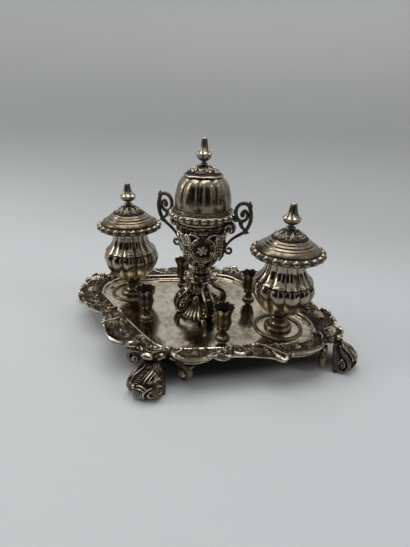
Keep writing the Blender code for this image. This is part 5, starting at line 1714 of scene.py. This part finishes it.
        def gadroons(points, marks):
            up = up_mm(points)
            _, angle = polar(points)
            lobe = np.abs(np.cos(angle * 6)) ** 0.7
            band = falloff(up, 32.0, 1.0, 4) + falloff(up, 29.6, 0.8, 4)
            band = band * (marks["along"] < 0.0125)
            recess = band * (1 - lobe) * 0.9 + falloff(up, 30.7, 0.3)
            return band * 0.0006 * (lobe - 0.5), np.clip(recess, 0, 1)

        turned("knop", "urn_neck", line, 192, gadroons)


# The scrolls and leaves on each side of a cartouche, the first of each at its head and the rest between two
# cartouches: across and up in millimetres, then which way each runs, in right angles and a bend outwards
VASE_SCROLLS = (
    (2.6, 61.6, 1, -0.9, 0.0120, 0.62, 0.0008, 1.0),
    (10.8, 55.0, 1, 0.6, 0.0120, 0.6, 0.0008, 0.9),
    (12.4, 50.0, 3, 0.5, 0.0100, 0.6, 0.0007, 0.8),
)
VASE_LEAVES = (
    (1.4, 62.2, 5.4, 0.9, 1, -0.25, 0.26, 3.0),
    (10.4, 41.0, 13.0, 0.9, 1, -0.02, 0.24, 6.0),
    (9.6, 52.5, 11.5, 0.85, 1, -0.35, 0.25, 5.0),
    (5.0, 41.6, 6.4, 0.8, -1, 0.5, 0.34, 4.0),
)


def chase_vase(chasing, high):
    """One sector of the vase, from its cartouche outwards: x round it and y its height over the tray."""
    mm = 0.001

    def roll(points, wide, lift=1.0, number=40):
        path = smooth_line(np.multiply(points, mm), number)
        chasing.roll(path, np.multiply(wide, mm), np.multiply(lift, high))

    # The cartouche: three hoops round a flower, open at the head
    for radius, wide, lift in ((8.5, 0.65, 1.0), (7.0, 0.45, 0.8), (5.8, 0.35, 0.7)):
        turn = np.linspace(math.pi * 0.62, math.pi * 2.44, 48)
        hoop = np.column_stack([radius * np.cos(turn), CARTOUCHE_UP / mm + radius * 1.08 * np.sin(turn)])
        chasing.roll(hoop * mm, wide * mm, high * lift)
    chasing.flower(-0.3 * mm, 52.2 * mm, 4.1 * mm, high * 0.95, 6, 0.3)
    chasing.flower(-0.3 * mm, 52.2 * mm, 2.0 * mm, high * 1.1, 5, 0.0)
    for hand in (-1, 1):
        for x, y, way, bend, length, turns, wide, lift in VASE_SCROLLS:
            heading = way * math.pi / 2 + hand * bend
            chasing.scroll(hand * x * mm, y * mm, heading, length, -hand * turns, wide, high * lift)
        for x, y, length, lift, way, bend, fat, ribs in VASE_LEAVES:
            heading = way * math.pi / 2 + hand * bend
            chasing.leaf(hand * x * mm, y * mm, length * mm, high * lift, heading, fat, ribs)
        chasing.bead(hand * 9.3 * mm, 60.8 * mm, 0.8 * mm, high * 0.9)
        chasing.bead(hand * 7.3 * mm, 43.5 * mm, 0.6 * mm, high * 0.8)
    chasing.leaf(0.0, 43.2 * mm, 6.8 * mm, high * 0.85, -math.pi / 2, 0.42, 4.0)
    chasing.leaf(0.0, 62.0 * mm, 5.6 * mm, high * 0.8, math.pi / 2, 0.3, 3.0)
    roll(((-16, 68.0), (-8, 67.3), (0, 67.9), (8, 67.3), (16, 68.0)), 0.5, 0.7)


class INKSTAND_OT_vase(Operator):
    """The urn's chased vase with its scroll lugs, and the beaded rim"""

    bl_idname = "inkstand.vase"
    bl_label = "Vase and rim"

    def execute(self, context):
        sizes = context.scene.inkstand_urn
        line = np.vstack([profile(VASE_BODY, pitch=0.3), profile(*VASE_NECK, pitch=0.3)[1:]])
        outer = outline_length(line, (17.6, 71.7))
        number = sizes.cartouches

        def ornament(points, marks):
            radius, angle = polar(points)
            around = folded(angle, number, math.radians(-64))
            up = points[:, 2] - TRAY_TOP
            chasing = Chasing(around * np.maximum(radius, 0.0095), up)
            chase_vase(chasing, sizes.relief)
            rng = np.random.default_rng(5)
            low, top = (-0.013, 0.037, 0.0), (0.013, 0.067, 6.3)
            for x, y, turn, size in rng.uniform((*low, 0.0022), (*top, 0.0040), (90, 4)):
                if math.hypot(x, y - CARTOUCHE_UP) > CARTOUCHE_CLEAR:
                    chasing.leaf(x, y, size, sizes.relief * 0.52, turn, 0.36, 3.0)
            for x, y, turn, size in rng.uniform((*low, 0.0040), (*top, 0.0068), (70, 4)):
                if math.hypot(x, y - CARTOUCHE_UP) > CARTOUCHE_CLEAR:
                    bend = 0.62 if turn > 3 else -0.62
                    chasing.scroll(x, y, turn, size, bend, 0.00045, sizes.relief * 0.6)
            on = (marks["along"] < outer) & (up > 0.0362) & (up < 0.0687) & (radius > 0.0075)
            fade = ease(up, 0.0362, 0.0385) * (1 - ease(up, 0.0680, 0.0687))
            lift = np.where(on, chasing.lift * fade - 0.0004 * fade, 0)
            return lift, np.where(on, hollows(chasing.lift, sizes.relief * 0.9) * 1.35 + 0.06, 0.4)

        meshes = [press(turn_on_lathe(line, 336), ornament)]
        for side in (0.0, math.pi):
            for path, wide, thick, rows, crest in VASE_LUGS:
                made = scroll_bar(path, wide, thick, rows, 20, crest)
                meshes.append(press(turned_about(made, side, (0.0, 0.0, TRAY_TOP)), self.leaf_bars))
        set_down("vase", meshes, "tray", ["urn_vase"], silver("vase"))

        line = profile(
            ((19.2, 75.9), (20.4, 75.8), (21.3, 75.2)),
            ((21.9, 74.4), (21.8, 73.4), (20.9, 72.6)),
            ((20.2, 72.2), (18.4, 72.0)),
            (16.55, 72.0), (16.55, 75.9), (19.2, 75.9),
            pitch=0.22,
        )
        middle = outline_length(line, (21.85, 73.9))
        beads = beaded(sizes.rim_beads, 0.0014, middle, 0.0020, 0.0019, 0.0218, 0.1, 0.95)
        turned("beaded_rim", "urn_rim", line, 312, beads)
        return {"FINISHED"}

    def leaf_bars(self, points, marks):
        """Ribs along a curled leaf."""
        rib = 0.5 + 0.5 * np.cos(marks["across"] * math.tau * 4)
        notch = np.abs(np.sin(marks["along"] * math.pi * 6)) ** 0.5
        return 0.0003 * rib * notch, 0.75 * (1 - rib) + 0.25 * (1 - notch)


class INKSTAND_OT_handles(Operator):
    """Two open scroll handles with a ring, a leafed arm and a volute against the rim"""

    bl_idname = "inkstand.handles"
    bl_label = "Urn handles"

    def execute(self, context):
        bar = context.scene.inkstand_urn.handle_bar
        for side, turn in (("right", 0.0), ("left", math.pi)):
            meshes = []
            for path, wide, thick, rows in HANDLE_STROKES:
                wide, thick = np.multiply(wide, bar * 1.1), np.multiply(thick, bar * 1.12)
                meshes.append(self.worn(scroll_bar(path, wide, thick, rows, 14, 0.12), turn))
            eye = ball(HANDLE_EYE[0], 0.0, HANDLE_EYE[1], 0.0017, (0.95, 1.0, 1.35))
            meshes.append(self.worn(eye, turn))
            nodes = [f"urn_handle_{side}"]
            set_down(f"scroll_handle_{side}", meshes, "tray", nodes, silver("handle"))
        return {"FINISHED"}

    def worn(self, made, turn):
        """One stroke of a handle, turned to its side of the urn."""

        def relief(points, marks):
            return unevenness(points, 0.006, 9) * 0.00005, np.full(len(points), 0.3)

        return press(turned_about(made, turn, (0.0, 0.0, TRAY_TOP)), relief)


class INKSTAND_OT_cover(Operator):
    """The lift-off cover: lobed dome, bezel, chased cap and bud finial"""

    bl_idname = "inkstand.cover"
    bl_label = "Urn cover"

    def execute(self, context):
        sizes = context.scene.inkstand_urn
        line = profile(
            (
                (1.3, 99.9), (5.0, 99.85), (8.8, 99.5), (11.6, 98.9), (13.6, 97.8), (15.4, 95.9),
                (16.8, 93.3), (17.9, 90.0),
            ),
            ((18.6, 87.0), (19.0, 83.5), (19.0, 80.2), (18.8, 78.4)),
            ((19.5, 78.1), (19.7, 77.5), (19.5, 76.9)),
            ((19.9, 76.6), (19.8, 76.2)),
            (18.6, 76.2),
            (
                (18.1, 78.6), (18.2, 83.5), (17.6, 87.8), (16.0, 93.0), (13.6, 96.4), (10.4, 98.5),
                (1.3, 99.0),
            ),
            pitch=0.35,
        )
        outer = outline_length(line, (18.8, 78.4))
        low, top = (0.0782, 0.0812), (0.0975, 0.0996)
        lobes = lobed(sizes.dome_lobes, sizes.dome_depth, low, top, outer, 0.25, 0.6)

        def seams_and_shade(points, marks):
            up = up_mm(points)
            radius, _ = polar(points)
            # Dark lines at the seams, a ring of painted shade on the dome under the cap's edge and a broad
            # band of painted shade over the dome's foot
            dirt_and_shade = falloff(up, 78.4, 0.35) + falloff(up, 76.9, 0.25)
            dirt_and_shade = dirt_and_shade + 0.6 * falloff(radius, 0.0131, 0.0004) * (up > 97)
            dirt_and_shade = dirt_and_shade + 0.5 * falloff(up, 79.2, 2.4)
            return np.zeros(len(points)), np.clip(dirt_and_shade * 0.7, 0, 1)

        turned("lobed_dome", "urn_cover", line, 320, both(lobes, seams_and_shade), silver("lid"), "urn_top")

        bezel = profile(
            ((17.4, 77.8), (17.4, 76.2)),
            (16.15, 76.2),
            ((16.1, 71.8), (15.9, 71.5), (15.4, 71.5)),
            ((15.25, 71.8), (15.25, 77.8)),
            (17.4, 77.8),
        )
        turned("bezel", "urn_cover_bezel", bezel, 120, plain_relief(0.2), None, "urn_top")

        line = profile(
            ((1.3, 105.7), (3.2, 105.2), (5.4, 104.0), (8.0, 102.8), (10.4, 101.3), (11.9, 100.0)),
            ((12.3, 100.1), (12.9, 99.6), (13.1, 99.0)),
            (12.4, 98.9),
            ((11.2, 99.7), (9.8, 100.9), (7.2, 102.3), (1.3, 104.8)),
            pitch=0.25,
        )
        outer = outline_length(line, (11.9, 100.0))

        def leaves(points, marks):
            radius, angle = polar(points)
            around = folded(angle, 5, 0.5)
            chasing = Chasing(around * 0.0076, radius)
            chasing.flower(0.0, 0.0078, 0.0024, 0.0011, 5, 0.2)
            for hand in (-1, 1):
                way = math.pi / 2 - hand * 0.5
                chasing.scroll(hand * 0.0014, 0.0046, way, 0.0095, -hand * 0.52, 0.0006, 0.0010)
                chasing.leaf(hand * 0.0022, 0.0094, 0.0034, 0.0009, math.pi / 2 - hand * 1.3, 0.36, 3.0)
                chasing.leaf(hand * 0.0042, 0.0062, 0.0040, 0.0009, math.pi / 2 - hand * 0.1, 0.34, 3.0)
            on = (marks["along"] < outer) & (radius > 0.0030)
            rim = 0.8 * falloff(radius, 0.0120, 0.0003) * (marks["along"] < outer + 0.001)
            return np.where(on, chasing.lift, 0), np.where(on, hollows(chasing.lift, 0.0010), 0.05) + rim

        finish = silver("chased")
        turned("chased_cap", "urn_cap", line, 320, leaves, finish, "urn_top", slot="chased_silver")

        line = finial_line(5.2, 106.0, 122.2, 96.1)
        turned("urn_bud", "urn_finial", line, 98, petalled(7, 0.00065, 0.1108, 0.1226), None, "urn_top")
        return {"FINISHED"}


class INKSTAND_OT_pen_cups(Operator):
    """Four flared pen cups with ribs, a scalloped lip and an inside darkened nearly to black, which is
    painted shade
    """

    bl_idname = "inkstand.pen_cups"
    bl_label = "Pen cups"

    def execute(self, context):
        sizes = context.scene.inkstand_cup
        line = profile(
            ((0.0, 7.4), (1.4, 7.4), (2.8, 7.8), (3.6, 9.0), (4.2, 11.6)),
            ((4.1, 15.6), (4.6, 19.2), (6.4, 23.0)),
            ((6.8, 23.7), (7.25, 23.6)),
            ((6.9, 22.6), (5.8, 20.4), (5.2, 18.4), (5.0, 16.4)),
            ((5.3, 14.6), (5.4, 12.4), (5.0, 10.4), (4.2, 8.2)),
            ((4.5, 7.5), (4.0, 6.9), (2.7, 5.9)),
            ((2.1, 4.9), (2.2, 4.0)),
            ((3.1, 3.6), (2.9, 2.9)),
            ((3.6, 2.2), (4.6, 1.5), (4.9, 0.3)),
            (1.0, 0.3), (1.0, -4.5), (0.0, -4.5),
            pitch=0.25,
        )
        start = outline_length(line, (6.4, 23.0))
        stop = outline_length(line, (2.9, 2.9))

        def ribs(points, marks):
            radius, angle = polar(points)
            up = up_mm(points)
            lobe = np.abs(np.cos(angle * sizes.ribs / 2)) ** 0.6
            along = marks["along"]
            inside = along < start
            flare = ease(up, 19.0, 23.5)
            body = ease(along, start, start + 0.0012) * (1 - ease(along, stop - 0.001, stop))
            leaf = falloff(up, 13.0, 3.2) * np.abs(np.cos(angle * sizes.ribs)) ** 0.8
            lift = -sizes.rib_depth * (1 - lobe) * body * (1 + 0.5 * flare) + 0.0004 * leaf * body
            lift = np.where(inside, 0.0006 * (1 - lobe) * flare, lift)
            grooves = sum(falloff(up, z, 0.4) for z in (2.9, 5.2, 8.2)) * ~inside
            # Darker in the rib grooves, between the leaves and in the foot's grooves: dirt and painted
            # shade. Inside the cup it is near black, painted shade that lifts towards the lip.
            dirt_and_shade = body * (0.10 + 0.95 * (1 - lobe) ** 1.3 + 0.2 * (1 - leaf)) + grooves * 0.6
            return lift, np.where(inside, 1.5 - 0.8 * ease(up, 22.4, 23.6), np.clip(dirt_and_shade, 0, 1.1))

        for name, (x, y) in CUPS.items():
            bm = turn_on_lathe(line, 144)
            for vert in bm.verts:
                up = (vert.co.z - TRAY_TOP) * 1000
                flare = min(max((up - 20.5) / 3.0, 0.0), 1.0)
                vert.co.z += 0.00030 * flare * math.cos(math.atan2(vert.co.y, vert.co.x) * sizes.ribs)
            mesh = press(bm, ribs, (x, y, 0.0))
            finish = silver("inky")
            set_down(f"flared_cup_{name}", [mesh], "tray", [f"pen_cup_{name}"], finish)
            dress_nodes([f"pen_cup_nut_{name}"], steel_finish())
        dress_nodes(FITTINGS, steel_finish())
        return {"FINISHED"}


# Which way the camera looks from, about Z, in degrees from straight in front
CAMERA_SIDE = 23.32
# The dark cards: where each starts and stops about the camera's side in degrees, and its foot and head
CARDS = ((-84, -12, 0.01, 0.52), (-3, 40, 0.01, 0.54), (47, 96, 0.02, 0.48))
CARD_REACH = 0.46
# Each lamp's place, what it faces, its size, its power in watts and its colour
LAMPS = (
    ("overhead", (-0.10, 0.06, 0.80), (0.0, 0.0, 0.0), (0.75, 0.60), 4.3, (1.0, 0.985, 0.96)),
    ("left", (-0.62, -0.30, 0.50), (0.0, 0.0, 0.04), (0.22, 0.42), 1.7, (1.0, 0.97, 0.93)),
    ("right", (0.62, 0.05, 0.42), (0.0, 0.0, 0.04), (0.18, 0.38), 1.0, (1.0, 0.98, 0.96)),
)
# The camera fitted to the photograph: its focal length and the picture's height in pixels, its axes, and
# its place over the tray in shares of an inkwell's distance from the middle
FOCAL_LENGTH = 352.5
PICTURE_HEIGHT = 547
FORWARD = (-0.3492, 0.8383, -0.4187)
RIGHT = (0.9174, 0.3967, 0.0292)
CAMERA_PLACE = (1.548, -3.59, 2.283)


class INKSTAND_OT_stage(Operator):
    """A pale floor that sweeps up all round, soft lamps and the photograph's camera"""

    bl_idname = "inkstand.stage"
    bl_label = "Stage"

    def execute(self, context):
        look = context.scene.inkstand_finish
        self.sweep(tuple(look.floor), tuple(look.far), tuple(look.upper))
        self.dark_room(tuple(look.flag))
        for lamp in LAMPS:
            self.lamp(*lamp)
        self.world(context)
        self.camera(context)
        view = context.scene.view_settings
        view.view_transform = "Standard"
        return {"FINISHED"}

    def sweep(self, near, far, upper):
        """The floor and backdrop as one turned sheet."""
        bend = np.linspace(0, math.pi / 2 * 0.93, 40)
        curve = np.column_stack([0.30 + 0.62 * np.sin(bend), 0.62 * (1 - np.cos(bend))])
        line = np.vstack([[(0.0, 0.0), (0.10, 0.0), (0.22, 0.0)], curve, [(0.93, 1.25)]])
        bm = turn_on_lathe(line, 128)
        bmesh.ops.reverse_faces(bm, faces=[face for face in bm.faces if face.normal.z < -0.01])
        data = bpy.data.meshes.new("sweep")
        bm.to_mesh(data)
        bm.free()
        data.shade_smooth()
        made = bpy.data.objects.new("sweep", data)
        bpy.context.scene.collection.objects.link(made)
        data.materials.append(stage_material("pale sweep", near, far, upper))

    def dark_room(self, shade):
        """Dark cards round the camera, seen only in the metal, with a gap of pale wall between them."""
        made_material, nodes = new_material("dark card")
        place = nodes.place()
        cloth = nodes.cloud(place, 20.0, 2.0, 0.5)
        shader = nodes.make("ShaderNodeBsdfDiffuse", None, {"Color": shade, "Roughness": cloth * 0.2})
        nodes.make("ShaderNodeOutputMaterial", None, {"Surface": shader}, None)
        middle = math.radians(CAMERA_SIDE - 90)
        for number, (start, stop, low, high) in enumerate(CARDS):
            turn = middle + np.radians(np.linspace(start, stop, 16))
            bm = bmesh.new()
            verts = [bm.verts.new((CARD_REACH * math.cos(a), CARD_REACH * math.sin(a), low)) for a in turn]
            edges = [bm.edges.new(pair) for pair in zip(verts, verts[1:])]
            raised = bmesh.ops.extrude_edge_only(bm, edges=edges)["geom"]
            upper = [item for item in raised if isinstance(item, bmesh.types.BMVert)]
            bmesh.ops.translate(bm, verts=upper, vec=(0.0, 0.0, high - low))
            data = bpy.data.meshes.new(f"card_{number}")
            bm.to_mesh(data)
            bm.free()
            card = bpy.data.objects.new(f"card_{number}", data)
            bpy.context.scene.collection.objects.link(card)
            data.materials.append(made_material)
            card.visible_camera = False
            card.visible_diffuse = False
            card.visible_shadow = False
            card.visible_transmission = False

    def lamp(self, name, at, target, size, power, tint):
        """A soft rectangular lamp that faces a point."""
        data = bpy.data.lights.new(name, "AREA")
        data.shape = "RECTANGLE"
        data.size, data.size_y = size
        data.energy = power
        data.color = tint
        made = bpy.data.objects.new(name, data)
        bpy.context.scene.collection.objects.link(made)
        made.location = at
        made.rotation_euler = (Vector(target) - Vector(at)).to_track_quat("-Z", "Y").to_euler()

    def world(self, context):
        """An even pale light from all round."""
        made = bpy.data.worlds.new("studio")
        made.use_nodes = True
        nodes = Nodes(made.node_tree)
        sky = nodes.make("ShaderNodeBackground", None, {"Color": (0.93, 0.96, 1.0), "Strength": 0.42})
        nodes.make("ShaderNodeOutputWorld", None, {"Surface": sky}, None)
        context.scene.world = made

    def camera(self, context):
        """The photograph's view."""
        data = bpy.data.cameras.new("view")
        data.sensor_fit = "VERTICAL"
        data.sensor_height = 36.0
        data.lens = FOCAL_LENGTH / PICTURE_HEIGHT * data.sensor_height
        data.clip_start = 0.01
        made = bpy.data.objects.new("view", data)
        context.scene.collection.objects.link(made)
        forward = Vector(FORWARD).normalized()
        right = Vector(RIGHT).normalized()
        up = right.cross(forward).normalized()
        right = forward.cross(up)
        facing = Matrix((right, up, -forward)).transposed().to_4x4()
        place = Vector(CAMERA_PLACE) * INKWELLS["right"][0] + Vector((0, 0, TRAY_TOP))
        made.matrix_world = Matrix.Translation(place) @ facing
        context.scene.camera = made


class INKSTAND_PT_panel(Panel):
    """Lists the inkstand's sizes, colours and steps"""

    bl_label = "Desk inkstand"
    bl_idname = "INKSTAND_PT_panel"
    bl_space_type = "VIEW_3D"
    bl_region_type = "UI"
    bl_category = "Inkstand"

    def draw(self, context):
        for name, group in SETTINGS:
            box = self.layout.box()
            box.label(text=group.__doc__)
            for size in group.__annotations__:
                box.prop(getattr(context.scene, name), size)
        for step in STEPS:
            self.layout.operator(step.bl_idname)


STEPS = (
    INKSTAND_OT_tray,
    INKSTAND_OT_border,
    INKSTAND_OT_feet,
    INKSTAND_OT_inkwells,
    INKSTAND_OT_stand,
    INKSTAND_OT_vase,
    INKSTAND_OT_handles,
    INKSTAND_OT_cover,
    INKSTAND_OT_pen_cups,
    INKSTAND_OT_stage,
)


def register():
    for name, group in SETTINGS:
        bpy.utils.register_class(group)
        setattr(bpy.types.Scene, name, PointerProperty(type=group))
    for step in (*STEPS, INKSTAND_PT_panel):
        bpy.utils.register_class(step)


def unregister():
    for step in reversed((*STEPS, INKSTAND_PT_panel)):
        bpy.utils.unregister_class(step)
    for name, group in reversed(SETTINGS):
        delattr(bpy.types.Scene, name)
        bpy.utils.unregister_class(group)


def main():
    register()
    bpy.ops.inkstand.tray()
    bpy.ops.inkstand.border()
    bpy.ops.inkstand.feet()
    bpy.ops.inkstand.inkwells()
    bpy.ops.inkstand.stand()
    bpy.ops.inkstand.vase()
    bpy.ops.inkstand.handles()
    bpy.ops.inkstand.cover()
    bpy.ops.inkstand.pen_cups()
    bpy.ops.inkstand.stage()


if __name__ == "__main__":
    main()
